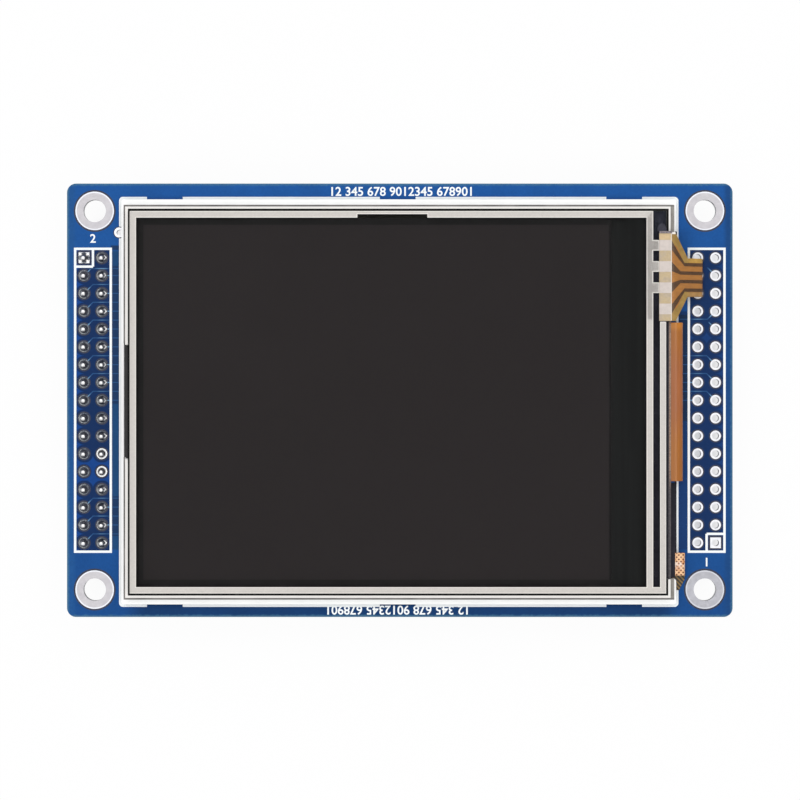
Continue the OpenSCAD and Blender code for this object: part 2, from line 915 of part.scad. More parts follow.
// Printed contacts on the tail's head
module touch_flex_contacts() {
    color("gainsboro")
    at_display()
        for (i = [0:3])
            translate([head_x0, touch_y + (1.5 - i) * contact_pitch - contact_w / 2,
                       silver_z + flex_t])
                cube([head_x1 - head_x0, contact_w, silver_t]);
}

// Plan of one dark conductor, offset lane lanes from the tail's middle
module stripe_plan(lane) {
    y0 = lane * contact_pitch;
    y1 = lane * stripe_pitch;
    half = stripe_w / 2;
    mouth = 0.66;
    bend_x = taper_x0 + 0.4 + 0.6 * abs(lane);
    far_x = fold[0] + 2 * fold_r;
    translate([0, touch_y])
        polygon([[head_x1, y0 - mouth], [bend_x, y1 - half], [far_x, y1 - half],
                 [far_x, y1 + half], [bend_x, y1 + half], [head_x1, y0 + mouth]]);
}

// The four conductors on the tail's outer face, down to the middle of the fold
module touch_flex_stripes() {
    color("saddlebrown")
    at_display()
        intersection() {
            across(touch_y, touch_head_w)
                polygon(concat(touch_face(flex_t + silver_t), reversed(touch_face(flex_t))));
            translate([0, 0, fold[1]])
                linear_extrude(silver_z)
                    for (lane = [-1.5:1.5])
                        stripe_plan(lane);
        }
}

module touch_flex_pads() {
    color("silver")
    at_display()
        for (lane = [-1.5:1.5])
            translate([touch_land_b[0], touch_y + lane * stripe_pitch - 0.3, board_t])
                cube([touch_land_b[2] - touch_land_b[0], 0.6, landing_t]);
}

// Body of a chip on the rear face, with its four lower edges bevelled
module chip_body(w, l) {
    bevel = 0.15;
    translate([0, 0, -chip_gap - chip_t])
        intersection() {
            across(0, l)
                polygon([[-w / 2 + bevel, 0], [w / 2 - bevel, 0], [w / 2, chip_t / 2],
                         [w / 2 - bevel / 2, chip_t], [-w / 2 + bevel / 2, chip_t],
                         [-w / 2, chip_t / 2]]);
            rotate([0, 0, 90])
                across(0, w)
                    polygon([[-l / 2 + bevel, 0], [l / 2 - bevel, 0], [l / 2, chip_t / 2],
                             [l / 2 - bevel / 2, chip_t], [-l / 2 + bevel / 2, chip_t],
                             [-l / 2, chip_t / 2]]);
        }
}

// Bent lead that leaves a body at its mid height and lands on the board, lead_w wide at y
module gull_lead(body_edge, y, lead_w) {
    t = 0.15;
    z = -chip_gap - chip_t / 2;
    across(y, lead_w)
        polygon([[body_edge, z + t / 2], [body_edge + 0.25, z + t / 2], [body_edge + 0.4, 0],
                 [body_edge + 0.95, 0], [body_edge + 0.95, -t], [body_edge + 0.53, -t],
                 [body_edge + 0.38, z - t / 2], [body_edge, z - t / 2]]);
}

module controller_body() {
    color("#202224")
    translate(controller_at)
        chip_body(controller_w, controller_l);
}

module controller_leads() {
    color("silver")
    translate(controller_at)
        for (turn = [0, 180], i = [0:7])
            rotate([0, 0, turn])
                gull_lead(controller_w / 2, (i - 3.5) * controller_pitch, 0.25);
}

module small_chip_bodies() {
    color("#202224")
    for (at = small_chips)
        translate(at)
            chip_body(small_chip_w, small_chip_l);
}

module small_chip_leads() {
    color("silver")
    for (at = small_chips)
        translate(at) {
            gull_lead(small_chip_w / 2, 0, 0.4);
            for (side = [-1, 1])
                rotate([0, 0, 180])
                    gull_lead(small_chip_w / 2, side * small_chip_pitch, 0.4);
        }
}

// Bodies, or the two end caps, of the small two-ended parts at the places in list
module chip_parts(list, t, ends) {
    cap = chip_part_l * 0.2;
    for (at = list)
        translate([at[0], at[1], -t])
            if (ends)
                for (x = [-chip_part_l / 2, chip_part_l / 2 - cap])
                    translate([x, -chip_part_w / 2, 0])
                        cube([cap, chip_part_w, t]);
            else
                translate([cap - chip_part_l / 2, -chip_part_w / 2, 0.02])
                    cube([chip_part_l - 2 * cap, chip_part_w, t - 0.04]);
}

module resistor_bodies() {
    color("#1c1c1e")
    chip_parts(resistors, resistor_t, false);
}

module resistor_ends() {
    color("silver")
    chip_parts(resistors, resistor_t, true);
}

module capacitor_bodies() {
    color("#a08060")
    chip_parts(capacitors, capacitor_t, false);
}

module capacitor_ends() {
    color("silver")
    chip_parts(capacitors, capacitor_t, true);
}

circuit_board();
mounting_hole_plating();
open_header_pads();
pin_header_pads();
spot_pad();
front_legend();
rear_legend();
header_body();
header_pins();
header_solder();
foam_tape();
backlight_frame();
reflector_sheet();
light_guide();
diffuser_sheet();
prism_sheet_lower();
prism_sheet_upper();
backlight_diodes();
backlight_flex();
backlight_flex_pads();
rim_tape();
rear_polariser();
panel_glass();
colour_filter_glass();
front_polariser();
driver_chip();
ledge_shield();
edge_tape();
display_flex();
display_flex_pads();
touch_tape();
touch_glass();
touch_electrodes();
touch_film();
touch_flex();
touch_flex_contacts();
touch_flex_stripes();
touch_flex_pads();
controller_body();
controller_leads();
small_chip_bodies();
small_chip_leads();
resistor_bodies();
resistor_ends();
capacitor_bodies();
capacitor_ends();
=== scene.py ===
"""Looks of the touch display module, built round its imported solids.

Lengths are in millimetres in the tables and helpers below, and go to metres through MM.
"""

import math

import bmesh
import bpy
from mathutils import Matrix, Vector


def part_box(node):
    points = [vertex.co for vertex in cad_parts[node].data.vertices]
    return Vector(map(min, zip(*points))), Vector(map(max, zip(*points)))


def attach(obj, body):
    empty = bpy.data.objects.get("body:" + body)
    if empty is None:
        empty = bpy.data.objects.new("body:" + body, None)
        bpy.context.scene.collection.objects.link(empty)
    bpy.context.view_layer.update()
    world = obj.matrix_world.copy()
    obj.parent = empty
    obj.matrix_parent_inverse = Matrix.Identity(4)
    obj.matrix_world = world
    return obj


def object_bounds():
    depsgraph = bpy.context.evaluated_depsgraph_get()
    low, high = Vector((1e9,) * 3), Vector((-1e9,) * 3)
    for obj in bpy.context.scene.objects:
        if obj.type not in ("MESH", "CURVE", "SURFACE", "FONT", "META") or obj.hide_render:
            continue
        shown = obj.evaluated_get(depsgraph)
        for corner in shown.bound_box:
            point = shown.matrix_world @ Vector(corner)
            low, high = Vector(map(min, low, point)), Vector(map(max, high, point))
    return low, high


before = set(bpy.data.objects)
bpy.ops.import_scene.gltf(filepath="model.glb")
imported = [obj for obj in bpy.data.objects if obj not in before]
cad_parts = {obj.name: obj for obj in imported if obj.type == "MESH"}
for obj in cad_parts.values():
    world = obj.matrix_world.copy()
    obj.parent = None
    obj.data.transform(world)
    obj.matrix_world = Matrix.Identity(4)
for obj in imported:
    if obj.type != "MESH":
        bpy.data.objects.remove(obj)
cad_bounds = [list(corner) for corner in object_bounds()]

MM = 0.001


def box(node):
    """Lowest and highest corner of a node, in millimetres."""
    low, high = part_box(node)
    return [v / MM for v in low], [v / MM for v in high]


def srgb(*rgb):
    """A colour written as 0 to 255 display values, as the linear values that a shader takes."""
    line = [c / 255 for c in rgb]
    line = [c / 12.92 if c <= 0.04045 else ((c + 0.055) / 1.055) ** 2.4 for c in line]
    return (*line, 1)


# ------------------------ places read from the solids
BOARD_HIGH = box("circuit_board")[1]
BOARD_TOP = BOARD_HIGH[2]
FRAME_LOW, FRAME_HIGH = box("backlight_frame")
TOUCH_LOW, TOUCH_HIGH = box("touch_glass")
PITCH = 2.54
HALF = PITCH / 2
ROWS = 17
PAD_R = 0.76
HEADER_X = (box("open_header_pads")[0][0] + box("open_header_pads")[1][0]) / 2
ROW_Y = [((ROWS - 1) / 2 - row) * PITCH for row in range(ROWS)]     # counted from the top
MOUNT_R = 2.75
MOUNT_X = box("mounting_hole_plating")[1][0] - MOUNT_R
MOUNT_Y = box("mounting_hole_plating")[1][1] - MOUNT_R
SPOT_LOW, SPOT_HIGH = box("spot_pad")
FLANGE_TOP = 2.9
# The foot of the frame's rim: left, bottom, right and top
FOOT = (FRAME_LOW[0] + 0.5, FRAME_LOW[1] + 0.85, FRAME_HIGH[0] - 0.75, FRAME_HIGH[1] - 0.95)
TOUCH_TAIL_LOW, TOUCH_TAIL_HIGH = box("touch_flex")
TOUCH_TAIL_Y = (TOUCH_TAIL_LOW[1] + TOUCH_TAIL_HIGH[1]) / 2
BOND_X = box("touch_flex_contacts")[1][0]
LIGHT_TAIL_Z = box("backlight_flex")[1][2]
LIGHT_TAIL_TOP = -20.4
LIGHT_TAIL_BEND = -24.9
DISPLAY_TAIL_LOW, DISPLAY_TAIL_HIGH = box("display_flex")
GLASS_RIGHT = box("panel_glass")[1][0]


# ------------------------ material graphs
class Graph:
    """Short calls that add shader nodes. Coordinates are the row frame's, in millimetres."""

    def __init__(self, name):
        self.material = bpy.data.materials.new(name)
        self.material.use_nodes = True
        self.tree = self.material.node_tree
        self.tree.nodes.clear()
        self.output = self.add("OutputMaterial")

    def add(self, kind, values=(), **settings):
        """A shader node with these settings; the values go to its first inputs."""
        node = self.tree.nodes.new("ShaderNode" + kind)
        for key, value in settings.items():
            setattr(node, key, value)
        for value, socket in zip(values, node.inputs):
            self.plug(value, socket)
        return node

    def plug(self, value, socket):
        if isinstance(value, bpy.types.NodeSocket):
            self.tree.links.new(value, socket)
        elif value is not None:
            socket.default_value = value

    def math(self, operation, *values):
        return self.add("Math", values, operation=operation).outputs[0]

    def times(self, a, b):
        return self.math("MULTIPLY", a, b)

    def invert(self, share):
        return self.math("SUBTRACT", 1.0, share)

    def place(self):
        """The point's place in millimetres."""
        coordinates = self.add("TexCoord")
        scaled = self.add("VectorMath", [coordinates.outputs["Object"]], operation="SCALE")
        self.plug(1 / MM, scaled.inputs["Scale"])
        return scaled.outputs[0]

    def axes(self, vector):
        return self.add("SeparateXYZ", [vector]).outputs

    def xyz(self):
        """The point's x, y and z in millimetres."""
        return self.axes(self.place())

    def normal(self):
        return self.axes(self.add("NewGeometry").outputs["Normal"])

    def level(self, low, high, to_low=0.0, to_high=1.0):
        """A soft step from upright faces to level ones."""
        return self.smooth(self.math("ABSOLUTE", self.normal()[2]), low, high, to_low, to_high)

    def noise(self, scale, detail=2.0, rough=0.5, stretch=None):
        """Noise from 0 to 1, scale cycles a millimetre."""
        vector = self.place()
        if stretch:
            vector = self.add("VectorMath", (vector, stretch), operation="MULTIPLY").outputs[0]
        node = self.add("TexNoise", [vector])
        self.plug(scale, node.inputs["Scale"])
        self.plug(detail, node.inputs["Detail"])
        self.plug(rough, node.inputs["Roughness"])
        return node.outputs[0]

    def smooth(self, value, low, high, to_low=0.0, to_high=1.0):
        """A soft step of value from low to high."""
        values = (value, low, high, to_low, to_high)
        return self.add("MapRange", values, interpolation_type="SMOOTHSTEP").outputs[0]

    def away(self, u, v, at_u=0.0, at_v=0.0):
        """Distance of the point (u, v) from the point (at_u, at_v)."""
        right, up = self.math("SUBTRACT", u, at_u), self.math("SUBTRACT", v, at_v)
        return self.math("SQRT", self.math("ADD", self.times(right, right), self.times(up, up)))

    def span(self, value, low, high, soft=0.05):
        """1 where value is between low and high, and 0 elsewhere."""
        up = self.smooth(value, low - soft, low + soft)
        down = self.smooth(value, high - soft, high + soft, 1.0, 0.0)
        return self.times(up, down)

    def patchy(self, scale, to_low, to_high, detail=2.0, stretch=None):
        """Noise spread from to_low to to_high, for a roughness or a share."""
        return self.smooth(self.noise(scale, detail, stretch=stretch), 0.3, 0.7, to_low, to_high)

    def mix(self, factor, a, b):
        """Colour a where factor is 0, and colour b where it is 1."""
        node = self.add("Mix", [factor], data_type="RGBA")
        colour_a, colour_b, colour_out = node.inputs[6], node.inputs[7], node.outputs[2]
        self.plug(a, colour_a)
        self.plug(b, colour_b)
        return colour_out

    def vary(self, colour, amount, *noise_args, **noise_keys):
        """Colour made lighter and darker by noise, up to amount each way."""
        factor = self.smooth(self.noise(*noise_args, **noise_keys), 0.25, 0.75, 1 - amount, 1 + amount)
        base = colour if isinstance(colour, bpy.types.NodeSocket) else colour[:3]
        node = self.add("VectorMath", [base], operation="SCALE")
        self.plug(factor, node.inputs["Scale"])
        return node.outputs[0]

    def bump(self, height, distance, strength=1.0):
        """Bump from a height socket, distance in millimetres."""
        node = self.add("Bump")
        self.plug(height, node.inputs["Height"])
        self.plug(distance * MM, node.inputs["Distance"])
        self.plug(strength, node.inputs["Strength"])
        return node.outputs[0]

    def blend(self, factor, a, b):
        """Shader a where factor is 0, and shader b where it is 1."""
        return self.add("MixShader", (factor, a, b)).outputs[0]

    def finish(self, shader):
        """The material, with this shader on its surface."""
        self.plug(shader, self.output.inputs["Surface"])
        return self.material

    def surface(self, **sockets):
        """The material of one principled surface."""
        node = self.add("BsdfPrincipled")
        for name, value in sockets.items():
            self.plug(value, node.inputs[name.replace("_", " ")])
        return self.finish(node.outputs[0])


def one_coat(name, colour, amount=0.06, scale=1.2, roughness=0.5, rough_swing=0.08, grain=0.0,
             grain_scale=8.0, stretch=None, **sockets):
    """A moulded or coated surface: noise in its display colour and roughness, and a fine grain."""
    g = Graph(name)
    base = g.vary(srgb(*colour), amount, scale, 3.0, stretch=stretch)
    rough = g.patchy(scale * 2.3, roughness - rough_swing, roughness + rough_swing, stretch=stretch)
    if grain:
        sockets["Normal"] = g.bump(g.noise(grain_scale, 2.0, stretch=stretch), grain)
    return g.surface(Base_Color=base, Roughness=rough, **sockets)


# ------------------------ the board
def header_field(g, x, y, side):
    """Offsets to the right and up from the nearest pad of one header, and the distance from it."""
    off = g.math("SUBTRACT", x, side * HEADER_X)
    u = g.math("SUBTRACT", off, g.times(g.math("SIGN", off), HALF))
    positive = g.math("ADD", y, PITCH * (ROWS + 3.5))
    v = g.math("SUBTRACT", g.math("MODULO", positive, PITCH), HALF)
    return u, v, g.away(u, v)


def lanes(g, x, y, left, right, spans):
    """1 in a strip from left to right, over each [low, high] of spans."""
    rows = None
    for low, high in spans:
        row = g.span(y, low, high, 0.1)
        rows = g.math("MAXIMUM", rows, row) if rows else row
    return g.times(g.span(x, left, right, 0.06), rows)


def header_ground(g, x, y, side, colour):
    """The mask inside a header's box: bare laminate, and copper in the outer wedges and one part."""
    inside = g.times(g.span(x, side * HEADER_X - PITCH, side * HEADER_X + PITCH, 0.03),
                     g.span(y, -ROWS * HALF, ROWS * HALF, 0.03))
    far = header_field(g, x, y, side)[2]
    outer = g.smooth(g.times(x, side), HEADER_X + 1.25, HEADER_X + 1.35)
    wedge = g.times(g.smooth(far, 1.22, 1.3), outer)
    if side < 0:
        poured = g.span(y, ROW_Y[13], ROW_Y[11], 0.1)
        clear = g.span(y, ROW_Y[12] - HALF, ROW_Y[12] + HALF)
        gap = g.math("MULTIPLY_ADD", clear, -0.25, 1.3)
        fill = g.smooth(g.math("SUBTRACT", far, gap), -0.05, 0.05)
        over_copper = srgb(18, 66, 136)
    else:
        poured = g.span(y, ROW_Y[5] - 0.6, ROW_Y[4] + 0.4, 0.1)
        fill = g.smooth(far, 1.3, 1.4)
        over_copper = srgb(20, 58, 114)
    copper = g.math("MAXIMUM", wedge, g.times(fill, poured))
    return g.mix(inside, colour, g.mix(copper, srgb(16, 46, 92), over_copper))


def unpoured(g, x, y, colour):
    """Strips without pour, where the traces run from the headers to the display."""
    left, right = PITCH - HEADER_X, HEADER_X - PITCH
    bottom, top = ROW_Y[16] - 1.0, ROW_Y[0] + 1.0
    left_spans = ((ROW_Y[8] - 0.5, ROW_Y[1] + 1.35), (ROW_Y[15] - 1.6, ROW_Y[13] - 1.0),
                  (ROW_Y[0] + 1.1, ROW_Y[0] + 1.75))
    right_spans = ((ROW_Y[9] - 0.4, ROW_Y[3] - 0.5),)
    left_strip = g.times(g.span(x, left, FRAME_LOW[0], 0.06), g.span(y, bottom, top, 0.2))
    right_strip = g.times(g.span(x, FRAME_HIGH[0] + 0.3, right, 0.06), g.span(y, bottom, ROW_Y[3], 0.2))
    left_lane = lanes(g, x, y, left, FRAME_LOW[0], left_spans)
    right_lane = lanes(g, x, y, FRAME_HIGH[0] + 0.6, right, right_spans)
    colour = g.mix(left_strip, colour, srgb(27, 70, 116))
    colour = g.mix(right_strip, colour, srgb(22, 59, 112))
    colour = g.mix(left_lane, colour, srgb(27, 55, 95))
    return g.mix(right_lane, colour, srgb(24, 49, 82))


def solder_mask():
    """Blue mask: lighter over the copper pour, darker over bare laminate, with a pale worn edge."""
    g = Graph("solder_mask")
    x, y, z = g.xyz()
    # Painted shade: the mask is drawn darker towards the bottom, and darker still along the frame's
    # lower edge
    colour = g.mix(g.smooth(y, -12.0, -28.0, 0.0, 0.7), srgb(25, 82, 150), srgb(20, 70, 130))
    shade_under_frame = g.times(g.smooth(y, -26.0, -29.3), g.span(x, -38.0, 39.0, 2.0))
    colour = g.mix(shade_under_frame, colour, srgb(16, 56, 104))
    rim_start, rim_full = BOARD_HIGH[0] - 1.5, BOARD_HIGH[0] - 0.7
    colour = g.mix(g.smooth(x, -rim_start, -rim_full), colour, srgb(30, 82, 142))
    colour = g.mix(g.smooth(x, rim_start, rim_full), colour, srgb(24, 70, 126))
    for side in (-1, 1):
        colour = header_ground(g, x, y, side, colour)
    colour = unpoured(g, x, y, colour)

    # The cut edge of the board, where the mask thins out
    edge_x = g.math("SUBTRACT", BOARD_HIGH[0], g.math("ABSOLUTE", x))
    edge_y = g.math("SUBTRACT", BOARD_HIGH[1], g.math("ABSOLUTE", y))
    worn = g.math("ADD", g.math("MINIMUM", edge_x, edge_y), g.patchy(2.4, -0.06, 0.06))
    colour = g.mix(g.smooth(worn, 0.12, 0.42, 0.75, 0.0), colour, srgb(68, 112, 140))
    colour = g.vary(colour, 0.05, 0.35, 3.0)
    colour = g.vary(colour, 0.05, 3.0, 2.0)

    # Sides: woven glass and resin between two thin blue lines
    core = g.vary(srgb(176, 168, 122), 0.12, 1.1, 3.0, stretch=(1.0, 1.0, 9.0))
    from_middle = g.math("ABSOLUTE", g.math("SUBTRACT", z, BOARD_TOP / 2))
    lines = g.smooth(from_middle, BOARD_TOP / 2 - 0.1, BOARD_TOP / 2 - 0.04)
    side_colour = g.mix(lines, core, srgb(24, 60, 120))
    level = g.level(0.4, 0.7)
    return g.surface(Base_Color=g.mix(level, side_colour, colour), Specular_IOR_Level=0.06,
                     Roughness=g.smooth(level, 0.0, 1.0, 0.75, 0.3),
                     Normal=g.bump(g.noise(1.6, 3.0), 0.012, 0.5))


def trace_mask():
    """Mask over the traces, paler where they leave the pads."""
    g = Graph("trace_mask")
    x, y, _ = g.xyz()
    far = g.math("MINIMUM", header_field(g, x, y, -1)[2], header_field(g, x, y, 1)[2])
    colour = g.mix(g.smooth(far, 0.85, 1.5), srgb(106, 148, 184), srgb(40, 80, 128))
    colour = g.vary(colour, 0.1, 1.5, 2.0)
    rough = g.patchy(1.2, 0.3, 0.4)
    return g.surface(Base_Color=colour, Roughness=rough, Specular_IOR_Level=0.06)


# ------------------------ tin, solder and gold
def tinned(name, base, shade, roughness, metal=0.5, scale=1.6, bumps=0.006, steep_shade=0.55):
    """Tinned copper: slightly uneven tin, with painted shade that makes its steep sides darker."""
    g = Graph(name)
    steep = g.level(0.25, 0.9)
    colour = g.mix(g.smooth(g.noise(scale, 3.0), 0.35, 0.72), base, shade)
    # Painted shade: steep faces are drawn darker than the level tin
    colour = g.mix(steep, tuple(c * steep_shade for c in base[:3]) + (1,), colour)
    rough = g.patchy(scale * 1.7, roughness - 0.06, roughness + 0.08)
    normal = g.bump(g.noise(scale * 1.3, 2.0), bumps)
    return g.surface(Base_Color=colour, Metallic=metal, Roughness=rough, Normal=normal)


def mounting_tin():
    """Wide tinned rings, with a painted highlight along their outer edge and painted shade on their
    steep faces.
    """
    g = Graph("mounting_tin")
    x, y, _ = g.xyz()
    radius = g.away(g.math("ABSOLUTE", x), g.math("ABSOLUTE", y), MOUNT_X, MOUNT_Y)
    steep = g.level(0.25, 0.9)
    colour = g.mix(g.smooth(g.noise(1.1, 3.0), 0.3, 0.7), srgb(200, 197, 201), srgb(190, 187, 192))
    corner = g.times(g.smooth(x, 0.0, 1.0), g.smooth(y, 0.0, -1.0))
    worn = g.vary(srgb(176, 176, 183), 0.1, 1.6, 4.0)
    colour = g.mix(corner, colour, worn)
    # Painted highlight along the ring's outer edge, at half strength on the lower right ring
    lip_highlight = g.times(g.smooth(radius, MOUNT_R - 0.24, MOUNT_R - 0.12),
                  g.smooth(corner, 0.0, 1.0, 1.0, 0.5))
    colour = g.mix(lip_highlight, colour, srgb(236, 238, 246))
    # Painted shade: steep faces are drawn darker grey
    colour = g.mix(steep, srgb(160, 160, 164), colour)
    rough = g.patchy(2.0, 0.42, 0.54)
    normal = g.bump(g.noise(1.6, 2.0), 0.004)
    return g.surface(Base_Color=colour, Metallic=0.12, Roughness=rough, Normal=normal)


def solder():
    """Grey mottled solder with painted reflections: painted shade in a dark ring round each pin, painted
    highlights, and bare tin where it stayed low.
    """
    g = Graph("solder")
    x, y, _ = g.xyz()
    u, v, far = header_field(g, x, y, -1)
    high = g.math("ABSOLUTE", v)
    right_column = g.smooth(x, -HEADER_X - 0.1, 0.1 - HEADER_X)
    low = g.times(g.span(y, ROW_Y[12] - HALF, ROW_Y[11] + HALF), right_column)
    square = g.times(g.smooth(y, ROW_Y[0] - 1.0, ROW_Y[0] - 0.9), g.invert(right_column))

    # A dark ring of painted shade round the pin, and grey round that, with painted light at the lower
    # left
    grain = g.noise(3.2, 3.0, 0.6)
    grey = g.mix(g.smooth(grain, 0.36, 0.62), srgb(44, 52, 70), srgb(108, 112, 118))
    lit = g.smooth(g.math("ADD", u, g.times(v, 0.5)), 0.15, -0.5)
    lit_grey = g.vary(srgb(120, 123, 126), 0.4, 3.4, 2.0)
    grey = g.mix(g.times(lit, g.smooth(far, 0.56, 0.66)), grey, lit_grey)
    dark_ring_shade = g.mix(right_column, srgb(82, 83, 92), srgb(60, 63, 74))
    colour = g.mix(g.smooth(far, 0.46, 0.6), g.vary(dark_ring_shade, 0.4, 3.0, 2.0), grey)
    # A painted highlight on the grey to the left of each pin
    glow = g.times(g.smooth(g.away(u, v, -0.42, -0.08), 0.36, 0.04),
                   g.smooth(g.noise(1.9, 2.0), 0.3, 0.62, 0.3, 0.95))
    colour = g.mix(glow, colour, srgb(196, 197, 200))
    # Painted shade on the right column's joints, darkest on their right sides
    dim = g.times(right_column, g.smooth(u, -0.5, 0.15, 0.0, 0.6))
    colour = g.mix(dim, colour, srgb(38, 42, 54))
    # A painted highlight on the inner side of the right column's joints, shaped like an arrowhead
    tip = g.smooth(g.noise(0.45), 0.35, 0.65, 0.52, 0.64)
    lip_highlight = g.math("SUBTRACT", g.math("MULTIPLY_ADD", high, 0.8, u), tip)
    lip_highlight = g.times(g.span(lip_highlight, -0.1, 0.1, 0.03), g.smooth(high, 0.4, 0.3))
    colour = g.mix(g.times(lip_highlight, right_column), colour, srgb(255, 253, 252))
    # The square pad: solder drawn into its four corners, shown as painted highlights there
    arm = g.math("ABSOLUTE", g.math("SUBTRACT", g.math("ABSOLUTE", u), high))
    corner = g.times(g.smooth(arm, 0.26, 0.12), g.smooth(far, 0.42, 0.55))
    colour = g.mix(g.times(corner, square), colour, srgb(252, 248, 244))
    # Two joints where the solder stayed low: painted shade inside, and a bright ring of bare tin
    ring = g.times(low, g.smooth(far, 0.5, 0.56))
    colour = g.mix(low, colour, srgb(46, 42, 40))
    colour = g.mix(ring, colour, srgb(250, 250, 250))
    return g.surface(Base_Color=colour, Metallic=g.smooth(ring, 0.0, 1.0, 0.45, 0.2),
                     Roughness=g.patchy(2.4, 0.22, 0.36), Normal=g.bump(grain, 0.02))


def pin_metal():
    """Gold on the pins' long ends, and grey solder over the tips that stand out of the joints, with a
    painted highlight on the tips' level tops.
    """
    g = Graph("header_pins")
    x, y, z = g.xyz()
    u, v, _ = header_field(g, x, y, -1)
    # Painted highlight: the tips' level tops are drawn bright, off centre towards the lower left
    flat = g.times(g.smooth(g.normal()[2], 0.35, 0.5),
                   g.smooth(g.away(u, v, -0.05, -0.12), 0.34, 0.2))
    tin = g.mix(flat, srgb(142, 143, 148), srgb(252, 251, 250))
    tin_from, tin_full = 0.9, 1.5
    gold = g.vary(srgb(232, 190, 96), 0.08, 0.8, 2.0)
    return g.surface(Base_Color=g.mix(g.smooth(z, tin_from, tin_full), gold, tin),
                     Metallic=g.smooth(g.times(flat, z), tin_from, tin_full, 1.0, 0.2),
                     Roughness=g.smooth(z, tin_from, tin_full, 0.22, 0.35),
                     Normal=g.bump(g.noise(2.8, 2.0), 0.01))


# ------------------------ the moulded frame
def moulding():
    """White moulding: creamy on the rim, with black painted shade on the walls inside it, grey painted
    shade on the rim's right-facing slopes, and painted light on the flanges left and right of the rim.
    """
    g = Graph("white_moulding")
    x, y, z = g.xyz()
    normal = g.normal()
    # Painted light: the flanges left and right of the rim are drawn whiter than those above and below it
    ends = g.math("MAXIMUM", g.smooth(x, FOOT[0] + 0.1, FOOT[0]), g.smooth(x, FOOT[2] - 0.1, FOOT[2]))
    flange = g.mix(ends, srgb(246, 247, 246), srgb(255, 255, 255))
    colour = g.mix(g.smooth(z, FLANGE_TOP + 0.1, FRAME_HIGH[2]), flange, srgb(236, 233, 229))
    colour = g.vary(colour, 0.015, 0.5, 3.0)
    rim_height = g.span(z, FLANGE_TOP + 0.02, FRAME_HIGH[2] - 0.02, 0.01)
    # Painted shade: the rim's right-facing slopes are drawn grey
    slope = g.times(g.smooth(normal[0], 0.7, 0.9), rim_height)
    colour = g.mix(slope, colour, srgb(168, 166, 160))
    # Painted shade: the upright walls inside the rim are drawn black
    rim = 0.55
    inside = g.times(g.span(x, FOOT[0] + rim, FOOT[2] - rim, 0.01),
                     g.span(y, FOOT[1] + rim, FOOT[3] - rim, 0.01))
    painted_wall_shade = g.times(inside, g.smooth(g.math("ABSOLUTE", normal[2]), 0.6, 0.4))
    colour = g.mix(painted_wall_shade, colour, srgb(34, 31, 28))
    return g.surface(Base_Color=colour, Roughness=g.patchy(1.2, 0.38, 0.5),
                     Normal=g.bump(g.noise(3.0, 2.0), 0.006))


# ------------------------ see-through layers
def pane(name, tint, edge_colour):
    """A clear layer: what is behind it, gloss at low angles, and a tinted cut edge."""
    g = Graph(name)
    clear = g.add("BsdfTransparent", [tint])
    gloss = g.add("BsdfGlossy")
    g.plug(g.patchy(0.3, 0.05, 0.09), gloss.inputs["Roughness"])
    facing = g.add("LayerWeight").outputs["Facing"]
    front = g.invert(g.add("NewGeometry").outputs["Backfacing"])
    share = g.times(g.math("POWER", facing, 3.0), front)
    seen = g.blend(share, clear.outputs[0], gloss.outputs[0])
    cut = g.add("BsdfDiffuse")
    g.plug(g.vary(edge_colour, 0.08, 1.0, 2.0), cut.inputs["Color"])
    return g.finish(g.blend(g.level(0.6, 0.4, 0.0, 0.55), seen, cut.outputs[0]))


# ------------------------ the tails
def film_over(g, base, streak, roughness=0.3):
    """The material of a tail: a thin clear film over this colour."""
    return g.surface(Base_Color=base, Roughness=roughness, Normal=g.bump(streak, 0.01), Coat_Weight=0.1,
                     Coat_Roughness=0.15, Specular_IOR_Level=0.3)


def touch_tail():
    """Amber film: pale over the bond, and golden along its two outer edges."""
    g = Graph("touch_tail_film")
    x, y, _ = g.xyz()
    streak = g.noise(1.6, 3.0, stretch=(0.3, 2.2, 1.0))
    colour = g.mix(g.smooth(streak, 0.3, 0.7), srgb(174, 118, 58), srgb(163, 110, 58))
    # Its outline narrows from half the head's width to the straight part's, past the frame
    side, neck = FRAME_HIGH[0], FRAME_HIGH[0] + 1.7
    head_half, neck_half = (TOUCH_TAIL_HIGH[1] - TOUCH_TAIL_LOW[1]) / 2, 2.7
    half = g.smooth(x, side - 0.4, neck, head_half, neck_half)
    off = g.math("ABSOLUTE", g.math("SUBTRACT", y, TOUCH_TAIL_Y))
    reach = g.smooth(x, side + 1.1, neck, 1.7, 0.62)
    edge = g.smooth(g.math("ADD", g.math("SUBTRACT", off, half), reach), -0.1, 0.1)
    upper = g.smooth(y, TOUCH_TAIL_Y - 0.5, TOUCH_TAIL_Y + 0.5)
    gold = g.mix(upper, srgb(168, 128, 78), srgb(186, 146, 72))
    gold = g.mix(g.smooth(x, side + 1.2, side + 2.1), srgb(158, 127, 68), gold)
    colour = g.mix(edge, colour, g.vary(gold, 0.14, 1.2, 2.0))
    bond = g.mix(g.smooth(g.noise(1.1, 3.0), 0.3, 0.7), srgb(182, 166, 144), srgb(192, 171, 134))
    top_end = g.smooth(y, TOUCH_TAIL_HIGH[1] - 1.1, TOUCH_TAIL_HIGH[1] - 0.7)
    bond = g.vary(g.mix(top_end, bond, srgb(206, 180, 138)), 0.06, 3.0, 3.0)
    colour = g.mix(g.smooth(x, BOND_X - 0.07, BOND_X - 0.02), bond, colour)
    return film_over(g, colour, streak)


